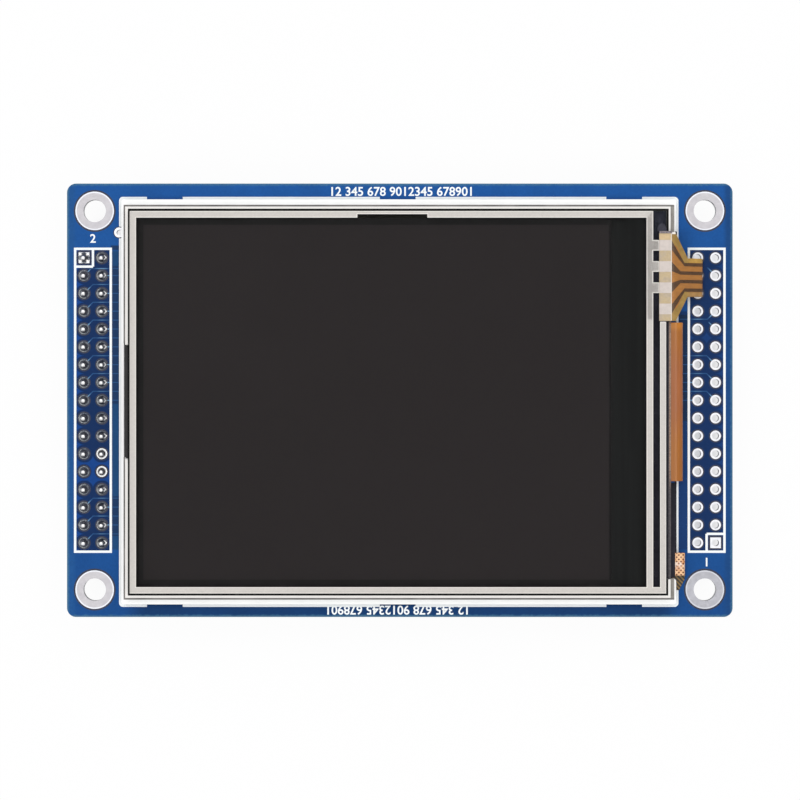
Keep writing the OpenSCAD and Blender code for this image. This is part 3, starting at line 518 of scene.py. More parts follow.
def display_tail():
    """Amber film over etched copper, golden at its two ends and redder between them."""
    g = Graph("display_tail_film")
    y = g.xyz()[1]
    streak = g.noise(1.2, 3.0, stretch=(3.0, 0.12, 3.0))
    middle = g.smooth(g.math("ABSOLUTE", g.math("ADD", y, -1.5)), 2.0, 8.5, 1.0, 0.0)
    colour = g.mix(middle, srgb(174, 108, 44), srgb(170, 102, 58))
    colour = g.mix(g.smooth(streak, 0.3, 0.7, 0.0, 0.35), colour, srgb(140, 80, 38))
    colour = g.mix(g.smooth(y, 9.6, 10.8), colour, srgb(200, 126, 44))
    return film_over(g, colour, streak, 0.26)


def light_tail():
    """Film over hatched copper, with a painted highlight across its loop, and dark slanting gaps where
    it turns to its soldered foot.
    """
    g = Graph("light_tail_film")
    x, y, _ = g.xyz()
    hatch = 0.62
    waves = []
    for sign in (1, -1):
        run = g.math("FRACT", g.math("DIVIDE", g.math("MULTIPLY_ADD", y, sign, x), hatch))
        waves.append(g.math("ABSOLUTE", g.math("SUBTRACT", run, 0.5)))
    hole = g.times(g.smooth(waves[0], 0.3, 0.2), g.smooth(waves[1], 0.3, 0.2))
    # Painted highlight across the middle of the loop, on the copper and in the hatch holes
    centre = (LIGHT_TAIL_TOP + LIGHT_TAIL_BEND) / 2
    middle = g.span(y, centre - 1.0, centre, 0.7)
    shine = g.times(middle, g.smooth(g.noise(1.8, 2.0), 0.42, 0.6))
    copper = g.mix(g.smooth(g.noise(1.1, 2.0), 0.35, 0.65), srgb(216, 146, 88), srgb(250, 204, 158))
    copper = g.mix(shine, copper, srgb(255, 240, 228))
    colour = g.mix(hole, copper, g.mix(shine, srgb(112, 54, 22), srgb(214, 176, 160)))
    foot = g.mix(g.smooth(waves[0], 0.22, 0.3), srgb(38, 31, 16), srgb(128, 100, 48))
    colour = g.mix(g.smooth(y, LIGHT_TAIL_BEND + 0.1, LIGHT_TAIL_BEND - 0.1), colour, foot)
    return film_over(g, colour, g.noise(2.0, 2.0), 0.25)


def well_tape():
    """Black tape round the panel's well, bluish on its wide right side."""
    g = Graph("touch_tape_black")
    x, y, _ = g.xyz()
    navy = g.mix(g.smooth(y, 10.0, 25.0), srgb(35, 33, 44), srgb(44, 45, 57))
    colour = g.mix(g.smooth(x, 34.0, 35.0), srgb(27, 24, 21), navy)
    colour = g.vary(colour, 0.14, 1.4, 3.0)
    return g.surface(Base_Color=colour, Roughness=g.patchy(3.0, 0.45, 0.65),
                     Specular_IOR_Level=0.1, Normal=g.bump(g.noise(5.0, 2.0), 0.01))


def dusty_film():
    """Dark film that turns beige beside the display's tail and above it."""
    g = Graph("dusty_film")
    x, y, _ = g.xyz()
    low_end = DISPLAY_TAIL_LOW[1]
    beige = g.times(g.smooth(y, low_end - 2.2, low_end + 2.8),
                    g.smooth(x, GLASS_RIGHT + 0.46, GLASS_RIGHT + 0.56))
    colour = g.mix(beige, srgb(76, 71, 75), srgb(158, 128, 108))
    return g.surface(Base_Color=g.vary(colour, 0.4, 4.0, 3.0), Roughness=0.6,
                     Normal=g.bump(g.noise(6.0), 0.01))


PAINT = {
    "circuit_board": solder_mask(),
    "mounting_hole_plating": mounting_tin(),
    "open_header_pads": tinned("pad_tin", srgb(243, 243, 248), srgb(228, 229, 236), 0.45, 0.08),
    "pin_header_pads": tinned("joint_tin", srgb(238, 238, 240), srgb(196, 197, 200), 0.3, 0.6, 2.4),
    "spot_pad": tinned("spot_tin", srgb(240, 240, 243), srgb(225, 225, 230), 0.34, 0.4),
    "header_solder": solder(),
    "header_pins": pin_metal(),
    "front_legend": one_coat("legend_ink", (245, 249, 250), 0.015, 1.5, 0.6, 0.05, 0.004),
    "header_body": one_coat("header_plastic", (24, 24, 26), 0.2, 0.9, 0.5, 0.08, 0.01, 9.0),
    "foam_tape": one_coat("foam", (44, 44, 46), 0.25, 6.0, 0.9, 0.05, 0.06, 9.0),
    "backlight_frame": moulding(),
    "reflector_sheet": one_coat("reflector_film", (240, 240, 240), 0.03, 1.0, 0.35),
    "light_guide": one_coat("guide_plastic", (228, 234, 236), 0.04, 0.6, 0.15),
    "diffuser_sheet": one_coat("diffuser_film", (235, 235, 232), 0.03, 2.0, 0.7),
    "prism_sheet_lower": one_coat("prism_film_a", (205, 208, 212), 0.06, 2.0, 0.25,
                                  stretch=(0.05, 6.0, 1.0)),
    "prism_sheet_upper": one_coat("prism_film_b", (205, 208, 212), 0.06, 2.0, 0.25,
                                  stretch=(6.0, 0.05, 1.0)),
    "backlight_diodes": one_coat("diode_body", (240, 232, 190), 0.05, 2.0, 0.4),
    "rim_tape": one_coat("rim_tape_black", (44, 42, 42), 0.1, 1.4, 0.5, 0.1, 0.01, 5.0,
                         Specular_IOR_Level=0.3),
    "touch_tape": well_tape(),
    "edge_tape": one_coat("edge_tape_black", (39, 38, 48), 0.2, 0.9, 0.4, 0.1, 0.01, 5.0,
                          Specular_IOR_Level=0.1),
    "ledge_shield": one_coat("ledge_film", (32, 32, 33), 0.15, 0.6, 0.35, 0.05,
                             stretch=(3.0, 0.05, 1.0), Specular_IOR_Level=0.07),
    "rear_polariser": one_coat("polariser_rear", (40, 40, 42), 0.05, 0.4, 0.3),
    "front_polariser": one_coat("polariser_front", (44, 38, 40), 0.02, 0.03, 0.35, 0.0,
                                Specular_IOR_Level=0.12),
    "panel_glass": one_coat("panel_lower", (35, 34, 46), 0.1, 0.9, 0.3, 0.02,
                            Specular_IOR_Level=0.07),
    "colour_filter_glass": one_coat("panel_upper", (32, 29, 31), 0.05, 0.1, 0.3, 0.02,
                                    Specular_IOR_Level=0.1),
    "driver_chip": one_coat("silicon", (60, 62, 68), 0.1, 0.4, 0.12, Metallic=0.4),
    "touch_film": pane("touch_film", (0.985, 0.985, 0.98, 1), srgb(214, 216, 214)),
    "touch_glass": pane("touch_glass", (0.98, 0.99, 0.985, 1), srgb(120, 132, 128)),
    "touch_electrodes": one_coat("silver_print", (205, 200, 196), 0.03, 2.5, 0.5, 0.06, 0.004, 7.0),
    "touch_flex_contacts": one_coat("bond_print", (204, 193, 186), 0.06, 1.6, 0.45, 0.06, 0.006, 6.0),
    "touch_flex_stripes": one_coat("conductor_print", (84, 57, 33), 0.2, 1.4, 0.35, 0.08, 0.006,
                                   6.0, stretch=(0.4, 2.0, 1.0)),
    "touch_flex": touch_tail(),
    "display_flex": display_tail(),
    "backlight_flex": light_tail(),
    "controller_body": one_coat("chip_black", (34, 35, 37), 0.12, 2.2, 0.55, 0.08, 0.008, 9.0),
    "resistor_bodies": one_coat("resistor_black", (28, 28, 30), 0.15, 3.0, 0.4),
    "capacitor_bodies": one_coat("capacitor_tan", (168, 132, 96), 0.08, 3.0, 0.5),
}
PAINT["rear_legend"] = PAINT["front_legend"]
PAINT["small_chip_bodies"] = PAINT["controller_body"]
for node in ("controller_leads", "small_chip_leads", "resistor_ends", "capacitor_ends"):
    PAINT[node] = tinned("tin_" + node, srgb(214, 214, 214), srgb(190, 190, 192), 0.32)
for node in ("display_flex_pads", "backlight_flex_pads", "touch_flex_pads"):
    PAINT[node] = PAINT["spot_pad"]

for name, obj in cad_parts.items():
    for slot in obj.material_slots:
        slot.material = PAINT[name]
    if not obj.material_slots:
        obj.data.materials.append(PAINT[name])


# ------------------------ pieces on the solids
def add_object(name, data):
    obj = bpy.data.objects.new(name, data)
    bpy.context.scene.collection.objects.link(obj)
    return obj


def piece(name, outlines, low, high, material):
    """One mesh of upright prisms over outlines of [x, y] points in millimetres."""
    mesh = bpy.data.meshes.new(name)
    bm = bmesh.new()
    for outline in outlines:
        bottom = [bm.verts.new((x * MM, y * MM, low * MM)) for x, y in outline]
        top = [bm.verts.new((x * MM, y * MM, high * MM)) for x, y in outline]
        bm.faces.new(top)
        bm.faces.new(bottom[::-1])
        count = len(outline)
        for i in range(count):
            j = (i + 1) % count
            bm.faces.new((bottom[i], bottom[j], top[j], top[i]))
    bmesh.ops.recalc_face_normals(bm, faces=bm.faces)
    bm.to_mesh(mesh)
    bm.free()
    mesh.materials.append(material)
    obj = add_object(name, mesh)
    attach(obj, "root")


def ribbon(points, width):
    """Outline of a line of some width along points, mitred at its bends."""
    points = [Vector(p) for p in points]
    left, right = [], []
    for i, p in enumerate(points):
        before = (p - points[i - 1]).normalized() if i else None
        after = (points[i + 1] - p).normalized() if i + 1 < len(points) else None
        before, after = before or after, after or before
        along = (before + after).normalized()
        across = Vector((-along.y, along.x)) * (width / 2 / max(along.dot(before), 0.3))
        left.append(p + across)
        right.append(p - across)
    return [tuple(p) for p in left + right[::-1]][::-1]


def on_circle(x, y, radius, step, steps):
    angle = math.tau * step / steps
    return (x + radius * math.cos(angle), y + radius * math.sin(angle))


def disc(x, y, radius, steps):
    """Outline of a round disc."""
    return [on_circle(x, y, radius, i, steps) for i in range(steps)]


def ring(x, y, inner, outer, steps=40):
    """A ring as quads, each its own outline."""
    return [[on_circle(x, y, inner, i, steps), on_circle(x, y, outer, i, steps),
             on_circle(x, y, outer, i + 1, steps), on_circle(x, y, inner, i + 1, steps)]
            for i in range(steps)]


def slab(x0, y0, x1, y1):
    """Outline of an upright rectangle."""
    return [(x0, y0), (x1, y0), (x1, y1), (x0, y1)]


def square_ring(x, y, inner, outer):
    """A square frame as four rectangles, from inner to outer away from its middle."""
    return [slab(x - outer, y - outer, x + outer, y - inner),
            slab(x - outer, y + inner, x + outer, y + outer),
            slab(x - outer, y - inner, x - inner, y + inner),
            slab(x + inner, y - inner, x + outer, y + inner)]


def outline_loops(node):
    """Loops of [x, y] points round the top face of a flat node, in millimetres."""
    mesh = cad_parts[node].data
    top = max(v.co.z for v in mesh.vertices)
    point = [(round(v.co.x / MM, 3), round(v.co.y / MM, 3)) for v in mesh.vertices]
    edges = set()
    for face in mesh.polygons:
        if face.normal.z > 0.9 and all(top - mesh.vertices[i].co.z < 1e-6 for i in face.vertices):
            corners = [point[i] for i in face.vertices]
            edges.update((a, b) for a, b in zip(corners, corners[1:] + corners[:1]) if a != b)
    follow = {a: b for a, b in edges if (b, a) not in edges}
    loops = []
    while follow:
        first, here = follow.popitem()
        loop = [first]
        while here != first:
            loop.append(here)
            here = follow.pop(here)
        loops.append(loop)
    return loops


def edge_band(loop, width):
    """Quads along the inner side of a loop that runs counter-clockwise round its face."""
    count = len(loop)
    points = [Vector(p) for p in loop]
    ways = [(points[(i + 1) % count] - points[i]).normalized() for i in range(count)]
    lefts = [Vector((-way.y, way.x)) for way in ways]
    inner = []
    for i in range(count):
        before, after = lefts[i - 1], lefts[i]
        inner.append(points[i] + (before + after) * (width / (1 + before.dot(after))))
    return [[tuple(points[i]), tuple(points[(i + 1) % count]), tuple(inner[(i + 1) % count]),
             tuple(inner[i])] for i in range(count)]


# Traces under the mask on the front: from each pad to the display
TRACE_H = 0.012
TRACE_W = 0.14
SUNK = 0.005                    # how far a thin layer reaches into the face that it lies on
THIN, MARK_H = 0.004, 0.003     # the same on tape, silver and film, and a mark's height on film
AT_CORNER, AT_SIDE = 0.45, 0.6  # where a trace leaves its pad, slanting or level
LEFT_END, RIGHT_END = FRAME_LOW[0] + 0.5, FRAME_HIGH[0] + 0.4

traces = []
outer, inner = -HEADER_X - HALF, HALF - HEADER_X
for row in (*range(1, 9), 14, 15, 16):
    y = ROW_Y[row]
    rise = 1.0 if row == 1 else HALF
    traces.append([(outer + AT_CORNER, y + AT_CORNER), (outer + rise, y + rise), (LEFT_END, y + rise)])
for row in (*range(1, 9), 14, 15):
    traces.append([(inner + AT_SIDE, ROW_Y[row]), (LEFT_END, ROW_Y[row])])
outer, inner = HEADER_X + HALF, HEADER_X - HALF
for row in (6, 7, 8):
    y = ROW_Y[row]
    traces.append([(outer - AT_CORNER, y + AT_CORNER), (outer - HALF, y + HALF), (RIGHT_END, y + HALF)])
    traces.append([(inner - AT_SIDE, y), (RIGHT_END, y)])
drop = 1.15
traces.append([(outer - AT_CORNER, ROW_Y[3] - AT_CORNER), (outer - drop, ROW_Y[3] - drop),
               (RIGHT_END + 0.2, ROW_Y[3] - drop)])
traces.append([(outer - AT_CORNER, ROW_Y[1] + AT_CORNER), (outer - drop, ROW_Y[1] + drop)])
traces.append([(outer - AT_SIDE, ROW_Y[4] + AT_SIDE), (outer - 1.0, ROW_Y[4] + 1.0)])
piece("front_traces", [ribbon(t, TRACE_W) for t in traces], BOARD_TOP - SUNK, BOARD_TOP + TRACE_H,
      trace_mask())

# Dark laminate in the mask's openings, round every pad and ring
gap_paint = one_coat("mask_gap", (6, 22, 56), 0.15, 1.5, 0.5)
GAP_H = 0.008
GAP_W, MOUNT_GAP_W, SPOT_GAP_W = 0.2, 0.24, 0.13
SQUARE_PADS = ((-1, -HALF, 0), (1, HALF, ROWS - 1))
gaps = []
for side in (-1, 1):
    for column in (-HALF, HALF):
        for row in range(ROWS):
            shape = square_ring if (side, column, row) in SQUARE_PADS else ring
            gaps += shape(side * HEADER_X + column, ROW_Y[row], PAD_R, PAD_R + GAP_W)
for x in (-MOUNT_X, MOUNT_X):
    for y in (-MOUNT_Y, MOUNT_Y):
        gaps += ring(x, y, MOUNT_R, MOUNT_R + MOUNT_GAP_W, 72)
spot_x, spot_y = [(low + high) / 2 for low, high in zip(SPOT_LOW[:2], SPOT_HIGH[:2])]
spot_r = (SPOT_HIGH[0] - SPOT_LOW[0]) / 2
gaps += ring(spot_x, spot_y, spot_r, spot_r + SPOT_GAP_W)
piece("mask_openings", gaps, BOARD_TOP - SUNK, BOARD_TOP + GAP_H, gap_paint)

# Grey painted shade where the rim meets the flange, as thin strips on the flange; it widens at the two
# right corners
LINE_IN, LINE_OUT, LINE_RIGHT = 0.08, 0.18, 0.48
LINE_LOW, LINE_HIGH = -0.01, 0.012          # of every line on a face, from that face
left, bottom, right, top = FOOT
half_gap = 8.1
post_bottom, post_top = box("edge_tape")[0][1], box("edge_tape")[1][1]
line_left, line_right = left - LINE_OUT, right + LINE_RIGHT
foot_lines = [slab(line_left, top - LINE_IN, line_right, top + LINE_OUT),
              slab(line_left, bottom - LINE_OUT, line_right, bottom + LINE_IN),
              slab(line_left, half_gap, left + LINE_IN, top - LINE_IN),
              slab(line_left, bottom + LINE_IN, left + LINE_IN, -half_gap)]
right_lines = [slab(right - LINE_IN, post_top, line_right, top - LINE_IN),
               slab(right - LINE_IN, bottom + LINE_IN, line_right, post_bottom)]
foot_shade_paint = one_coat("rim_foot_shade_grey", (118, 114, 112), 0.35, 0.25, 0.6)
right_shade_paint = one_coat("rim_foot_shade_pale", (156, 152, 146), 0.18, 1.2, 0.6)
for name, lines, paint in (("rim_foot_shade_line", foot_lines, foot_shade_paint),
                           ("rim_foot_shade_right", right_lines, right_shade_paint)):
    piece(name, lines, FLANGE_TOP + LINE_LOW, FLANGE_TOP + LINE_HIGH, paint)

# The tape in the gap of the left rim: it laps over the flange, and a slit runs beside the glass
TAPE_TOP = box("rim_tape")[1][2]
piece("gap_tape_edge", [slab(FRAME_LOW[0] + 0.42, -half_gap, left + 0.25, half_gap)],
      FLANGE_TOP + LINE_LOW, TAPE_TOP + THIN, PAINT["rim_tape"])
slit = one_coat("tape_slit", (17, 16, 17), 0.2, 1.0, 0.6, Specular_IOR_Level=0.1)
piece("gap_tape_slit", [slab(TOUCH_LOW[0] - 0.41, -half_gap, TOUCH_LOW[0] - 0.22, half_gap)],
      TAPE_TOP - SUNK, TAPE_TOP + LINE_HIGH, slit)

# The tape that shows as a black slit between the rim and the glass
CLEAR = 0.03
slit_left, slit_top = TOUCH_LOW[0] - CLEAR, TOUCH_HIGH[1] + CLEAR
slit_right, slit_bottom = TOUCH_HIGH[0] + CLEAR, TOUCH_LOW[1] - CLEAR
far_left = slit_left - 0.21
upper_right, lower_right = slit_right + 0.33, slit_right + 0.26
slit_lines = [slab(far_left, slit_top, upper_right, slit_top + 0.31),
              slab(far_left, slit_bottom - 0.28, lower_right, slit_bottom),
              slab(far_left, half_gap, slit_left, slit_top),
              slab(far_left, slit_bottom, slit_left, -half_gap),
              slab(slit_right, post_top, upper_right, slit_top),
              slab(slit_right, slit_bottom, lower_right, post_bottom)]
piece("rim_slit", slit_lines, FRAME_HIGH[2] + LINE_LOW, FRAME_HIGH[2] + LINE_HIGH, slit)

# Bright borders of the printed silver
SILVER_TOP = box("touch_electrodes")[1][2]
BORDER_W = 0.12
bands = [quad for loop in outline_loops("touch_electrodes") for quad in edge_band(loop, BORDER_W)]
print_edge = one_coat("silver_edge", (229, 225, 220), 0.03, 2.5, 0.5)
piece("silver_print_edges", bands, SILVER_TOP - THIN, SILVER_TOP + THIN, print_edge)

# Black film along the panel's right edge and over the light's tail, and black painted shade on the board
# along the frame's side
FILM_OVER = DISPLAY_TAIL_HIGH[2]
FILM_T, DUST_T = 0.03, 0.005
SIDE_X = box("edge_tape")[1][0]
film_left, strip_left, film_right = GLASS_RIGHT + 0.1, GLASS_RIGHT + 0.42, GLASS_RIGHT + 0.78
film_end = TOUCH_TAIL_LOW[1] - 0.05
shade_left, shade_right, wide_shade_right = SIDE_X - 0.1, SIDE_X + 0.15, SIDE_X + 0.21
piece("edge_film", [slab(film_left, post_bottom, film_right, film_end)],
      FILM_OVER, FILM_OVER + FILM_T, PAINT["edge_tape"])
# Painted shade: a black strip on the board along the foot of the frame's side, broken by the display's
# tail, and wider near the top post
piece("edge_tape_shade", [slab(shade_left, post_bottom, shade_right, DISPLAY_TAIL_LOW[1] - 0.05),
                        slab(shade_left, DISPLAY_TAIL_HIGH[1] + 0.05, shade_right, film_end),
                        slab(shade_left, post_top - 1.2, wide_shade_right, post_top + 0.2)],
      BOARD_TOP + 0.03, BOARD_TOP + 0.06, PAINT["edge_tape"])
piece("edge_film_strip", [slab(strip_left, post_bottom, film_right, film_end)],
      FILM_OVER + FILM_T, FILM_OVER + FILM_T + DUST_T, dusty_film())
piece("light_tail_patch", [slab(GLASS_RIGHT + 0.75, LIGHT_TAIL_BEND - 0.3, FRAME_HIGH[0] - 0.15,
                                LIGHT_TAIL_TOP + 0.3)],
      LIGHT_TAIL_Z, LIGHT_TAIL_Z + 0.04, PAINT["edge_tape"])

# A pale strip along the touch film's edge over the tail's head, a painted highlight where the film
# bends, and the film's black left edge
HEAD_Z, HEAD_TOP = TOUCH_TAIL_HIGH[2], TOUCH_TAIL_HIGH[1]
seam = one_coat("film_edge", (240, 234, 226), 0.05, 2.0, 0.4)
piece("touch_head_highlight", [slab(BOND_X - 0.09, TOUCH_TAIL_LOW[1] + 0.05, BOND_X - 0.01, HEAD_TOP - 0.05)],
      HEAD_Z - 0.01, HEAD_Z + 0.045, seam)
FILM_LEFT, FILM_TOP = box("touch_film")[0][0], box("touch_film")[1][2]
piece("film_left_edge", [slab(FILM_LEFT, slit_bottom, FILM_LEFT + 0.07, slit_top)],
      FILM_TOP - THIN, FILM_TOP + MARK_H, slit)

# Above the head: a grey half disc under the film, a dusty strip and the end of the film's seam
BUBBLE_X, BUBBLE_W, BUBBLE_H = 37.08, 0.66, 1.1
dust_left, dust_right, dust_top = 36.72, 38.5, HEAD_TOP + 0.3
angles = [math.pi * i / 20 for i in range(21)]
dome = [(BUBBLE_X + BUBBLE_W * math.cos(a), dust_top + BUBBLE_H * math.sin(a)) for a in angles]
bubble = one_coat("film_bubble", (58, 58, 68), 0.22, 3.0, 0.45, Specular_IOR_Level=0.1)
piece("head_bubble", [dome], FILM_TOP - THIN, FILM_TOP + MARK_H, bubble)
dust = one_coat("head_dust_grey", (124, 115, 118), 0.35, 4.5, 0.6, 0.08, 0.01, 6.0)
piece("head_dust", [slab(dust_left, HEAD_TOP - 0.02, dust_right, dust_top)],
      FILM_TOP - 0.01, FILM_TOP + 0.006, dust)
piece("head_seam_end", [slab(dust_right - 0.08, HEAD_TOP - 0.12, dust_right + 0.5, HEAD_TOP + 0.16)],
      FLANGE_TOP + 1.9, HEAD_Z, seam)


# ------------------------ the rear of the board
def feet(node):
    """Rectangles [x0, y0, x1, y1] on the board's rear where the solids of a node meet it."""
    bm = bmesh.new()
    bm.from_mesh(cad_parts[node].data)
    bmesh.ops.remove_doubles(bm, verts=bm.verts, dist=1e-6)
    seen, found = set(), []
    for start in bm.verts:
        if start in seen:
            continue
        seen.add(start)
        group = [start]
        for vert in group:
            for edge in vert.link_edges:
                other = edge.other_vert(vert)
                if other not in seen:
                    seen.add(other)
                    group.append(other)
        low = [vert.co / MM for vert in group if vert.co.z > -0.06 * MM]
        if low:
            found.append((min(p.x for p in low), min(p.y for p in low),
                          max(p.x for p in low), max(p.y for p in low)))
    bm.free()
    return found


def rear_pads(node, over_x, over_y):
    """Outlines of the pads under a node's feet, larger than the feet by these margins."""
    return [slab(x0 - over_x, y0 - over_y, x1 + over_x, y1 + over_y) for x0, y0, x1, y1 in feet(node)]


REAR_IN = 0.004                 # how far a thin layer reaches into the rear face
PAD_T, TRACE_T, HOLE_T = 0.016, 0.012, 0.01
PAD_OVER = 0.12
pads = [pad for node in ("small_chip_leads", "resistor_ends", "capacitor_ends")
        for pad in rear_pads(node, PAD_OVER, PAD_OVER)] + rear_pads("controller_leads", 0.25, 0.04)
piece("rear_pads", pads, -PAD_T, REAR_IN, PAINT["spot_pad"])

leads = feet("controller_leads")
lead_y = sorted({round((foot[1] + foot[3]) / 2, 3) for foot in leads})
lead_left, lead_right = min(foot[0] for foot in leads), max(foot[2] for foot in leads)
column = [foot for foot in feet("resistor_ends") if foot[0] > lead_right + 5]
column_left, column_right = min(foot[0] for foot in column), max(foot[2] for foot in column)
column_y = sorted({round((foot[1] + foot[3]) / 2, 3) for foot in column}, reverse=True)


def jog(x0, y0, x1, y1, bend):
    """A trace from x0, y0 to x1, y1: level, then at 45 degrees from x = bend, then level again."""
    way = math.copysign(1, x1 - x0)
    return [(x0, y0), (bend, y0), (bend + way * abs(y1 - y0), y1), (x1, y1)]


LAP = 0.2                       # of a trace over a part's pad
pads_end, pins_end = HEADER_X - HALF - 0.5, HALF - HEADER_X + 0.5
rear = []
for i, y in enumerate(column_y):
    turn = 31.0 - 0.55 * i
    lead = lead_y[-1 - i]
    cut = min(0.4, abs(lead - y) / 2)
    down = math.copysign(cut, y - lead)
    rear.append([(lead_right - LAP, lead), (turn - cut, lead), (turn, lead + down), (turn, y - down),
                 (turn + cut, y), (column_left + LAP, y)])
    rear.append(jog(column_right - LAP, y, pads_end, ROW_Y[4 + i], 35.5 + 0.2 * i))
for i, row in enumerate((5, 6, 7)):
    rear.append(jog(lead_left + LAP, lead_y[2 - i], pins_end, ROW_Y[row], -31.0 - 0.4 * i))
# Short ones between the small parts, listed one by one
last = ROW_Y[14]
rear += [
    [(lead_left + LAP, lead_y[4]), (15.0, lead_y[4]), (14.4, 9.0), (13.2, 9.0)],
    [(lead_left + LAP, lead_y[7]), (17.5, lead_y[7]), (17.1, lead_y[7] + 0.4), (17.1, 13.8)],
    [(15.9, 4.0), (12.0, 4.0), (9.5, 6.5), (3.0, 6.5)],
    [(12.0, 9.0), (8.0, 9.0), (6.0, 11.0), (-4.0, 11.0)],
    [(26.0, 12.0), (25.2, 12.0), (23.4, 13.8), (23.4, 17.0)],
    [(29.2, -17.0), (33.5, -17.0), (33.5 + 17.0 + last, last), (pads_end, last)],
    [(24.6, -17.0), (25.6, -17.0), (26.5, -16.1)],
    [(23.4, -17.0), (20.0, -17.0), (18.5, -15.5), (18.5, -9.0)],
    [(-22.7, 14.0), (-21.4, 14.0), (-20.6, 13.2), (-20.6, 11.8)],
    [(-21.4, 14.0), (-20.6, 14.8), (-20.6, 16.2)],
    [(-25.2, 14.95), (-30.0, 14.95), (-30.29, ROW_Y[2]), (pins_end, ROW_Y[2])],
    [(-25.2, 13.05), (-30.0, 13.05), (-30.35, ROW_Y[3]), (pins_end, ROW_Y[3])],
]
REAR_TRACE_W = 0.25
piece("rear_traces", [ribbon(t, REAR_TRACE_W) for t in rear], -TRACE_T, REAR_IN, trace_mask())

# Through holes, at the traces' ends and along the long sides
VIA_R, COLLAR_R = 0.17, 0.36
vias = [(3.0, 6.5), (-4.0, 11.0), (23.4, 17.0), (18.5, -9.0), (28.0, -12.0), (-14.0, 16.5),
        (-14.0, 11.5), (20.0, 3.0), (22.0, 3.0), (8.0, 15.0), (-34.0, -8.0), (-34.0, -12.0),
        (36.0, 20.0), (36.0, -24.0)]
vias += [(x, y) for y in (-28.6, 28.6) for x in range(-30, 31, 12)]
collars = [quad for x, y in vias for quad in ring(x, y, VIA_R, COLLAR_R, 20)]
piece("rear_via_rings", collars, -PAD_T, REAR_IN, trace_mask())
piece("rear_via_holes", [disc(x, y, VIA_R, 16) for x, y in vias], -HOLE_T, REAR_IN, gap_paint)


# ------------------------ printed numbers
DIGIT_SHARE = 0.73              # a digit's height as a share of its type size
INK_T, INK_OVER, BOLD = 0.012, 0.014, 0.03


def numbers(name, text, x, y, height, turn=0.0):
    """Plain numbers printed on the board's front face, centred at x, y."""
    curve = bpy.data.curves.new(name, "FONT")
    curve.body = text
    curve.size = height * MM / DIGIT_SHARE
    curve.align_x = curve.align_y = "CENTER"
    curve.extrude = INK_T * MM
    curve.offset = BOLD * MM
    curve.resolution_u = 4
    made = add_object(name + "_text", curve)
    bpy.context.view_layer.update()
    mesh = bpy.data.meshes.new_from_object(made.evaluated_get(bpy.context.evaluated_depsgraph_get()))
    bpy.data.objects.remove(made)
    mesh.name = name
    mesh.materials.clear()
    mesh.materials.append(PAINT["front_legend"])
    obj = add_object(name, mesh)
    obj.location = (x * MM, y * MM, (BOARD_TOP + INK_OVER) * MM)
    obj.rotation_euler = (0, 0, turn)
    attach(obj, "root")


LINE = "12 345 678 9012345 678901"
numbers("number_line_top", LINE, 0.25, 29.7, 1.3)
numbers("number_line_bottom", LINE, -0.32, -29.85, 1.3, math.pi)
numbers("number_left", "2", -HEADER_X, 23.0, 1.25)
numbers("number_right", "1", HEADER_X, -23.0, 1.25, math.pi)


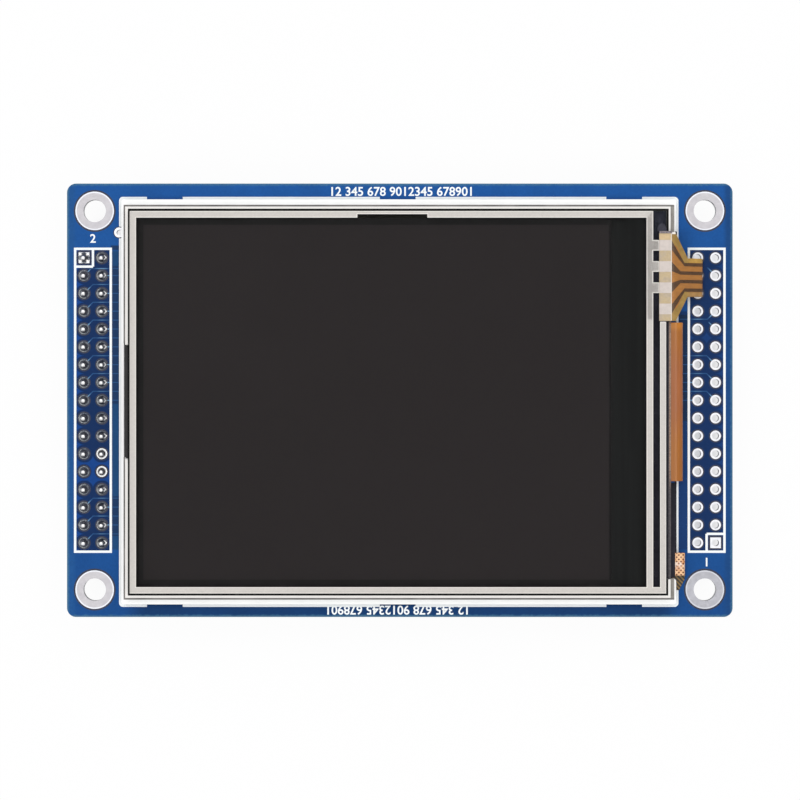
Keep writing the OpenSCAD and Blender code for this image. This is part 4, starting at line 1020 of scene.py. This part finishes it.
# ------------------------ floor, light and camera
def floor():
    """Pale paper that the camera sees as near white, darker where little light reaches it."""
    g = Graph("floor_paper")
    paper = g.add("BsdfDiffuse")
    g.plug(g.vary((0.9, 0.89, 0.91, 1), 0.01, 0.02, 2.0), paper.inputs["Color"])
    glow = g.add("Emission", [(1, 1, 1, 1)])
    path = g.add("LightPath")
    seen = g.math("MAXIMUM", path.outputs["Is Camera Ray"],
                  g.math("MAXIMUM", path.outputs["Is Glossy Ray"], path.outputs["Is Transmission Ray"]))
    open_sky = g.add("AmbientOcclusion")
    g.plug(15 * MM, open_sky.inputs["Distance"])
    share = g.smooth(open_sky.outputs["AO"], 0.25, 0.56, 0.5, 0.95)
    # Painted shade under the headers, most at their outer columns
    x, y, _ = g.xyz()
    out = g.math("ABSOLUTE", x)
    under_pads = g.times(g.span(out, HEADER_X - 2.2, HEADER_X + 2.2, 1.7),
                         g.span(y, ROW_Y[16] - 1.6, ROW_Y[0] + 1.6, 2.4))
    shade = g.times(under_pads, g.smooth(out, HEADER_X - HALF, HEADER_X + HALF, 0.28, 0.68))
    share = g.times(share, g.invert(shade))
    material = g.finish(g.blend(g.times(seen, share), paper.outputs[0], glow.outputs[0]))
    z = cad_bounds[0][2]
    half = 4.0                  # metres
    mesh = bpy.data.meshes.new("floor")
    mesh.from_pydata([(x, y, z) for x, y in slab(-half, -half, half, half)], [], [(0, 1, 2, 3)])
    mesh.materials.append(material)
    obj = add_object("floor", mesh)


def studio():
    """A pale dome, dimmer towards its rim."""
    world = bpy.data.worlds.new("studio")
    bpy.context.scene.world = world
    world.use_nodes = True
    nodes, link = world.node_tree.nodes, world.node_tree.links.new
    background = nodes["Background"]
    coordinates = nodes.new("ShaderNodeTexCoord")
    axes = nodes.new("ShaderNodeSeparateXYZ")
    ramp = nodes.new("ShaderNodeValToRGB")
    link(coordinates.outputs["Generated"], axes.inputs[0])
    link(axes.outputs[2], ramp.inputs[0])
    link(ramp.outputs[0], background.inputs["Color"])
    stops = ((0.0, 0.36), (0.4, 0.46), (0.75, 0.7), (0.95, 0.8))
    ramp.color_ramp.interpolation = "EASE"
    while len(ramp.color_ramp.elements) < len(stops):
        ramp.color_ramp.elements.new(0.5)
    for element, (at, level) in zip(ramp.color_ramp.elements, stops):
        element.position = at
        element.color = (level, level, level, 1)
    background.inputs["Strength"].default_value = 1.0


LAMP_Z, LAMP_SIZE = 1.15, 0.6   # metres
LAMPS = {"key_lamp": (-0.3, 0.35, 2.35), "fill_lamp": (0.35, -0.3, 1.9), "top_lamp": (0.3, 0.35, 1.7),
         "low_lamp": (-0.35, -0.3, 1.7)}


def lamp(name, x, y, watts):
    """A square soft lamp aimed at the object."""
    light = bpy.data.lights.new(name, "AREA")
    light.size = LAMP_SIZE
    light.energy = watts
    obj = add_object(name, light)
    obj.location = (x, y, LAMP_Z)
    obj.rotation_euler = (-Vector(obj.location)).to_track_quat("-Z", "Y").to_euler()


floor()
studio()
for lamp_name, settings in LAMPS.items():
    lamp(lamp_name, *settings)

# Straight above the board, 0.5 m from its face, over the photograph's middle
camera = bpy.data.cameras.new("camera")
camera.sensor_width = 36
camera.lens = 157.8
camera.clip_start = 0.01
camera_object = add_object("camera", camera)
camera_object.location = (0.0285 * MM, 0.036 * MM, BOARD_TOP * MM + 0.5)
bpy.context.scene.camera = camera_object

bpy.context.scene.view_settings.view_transform = "Standard"
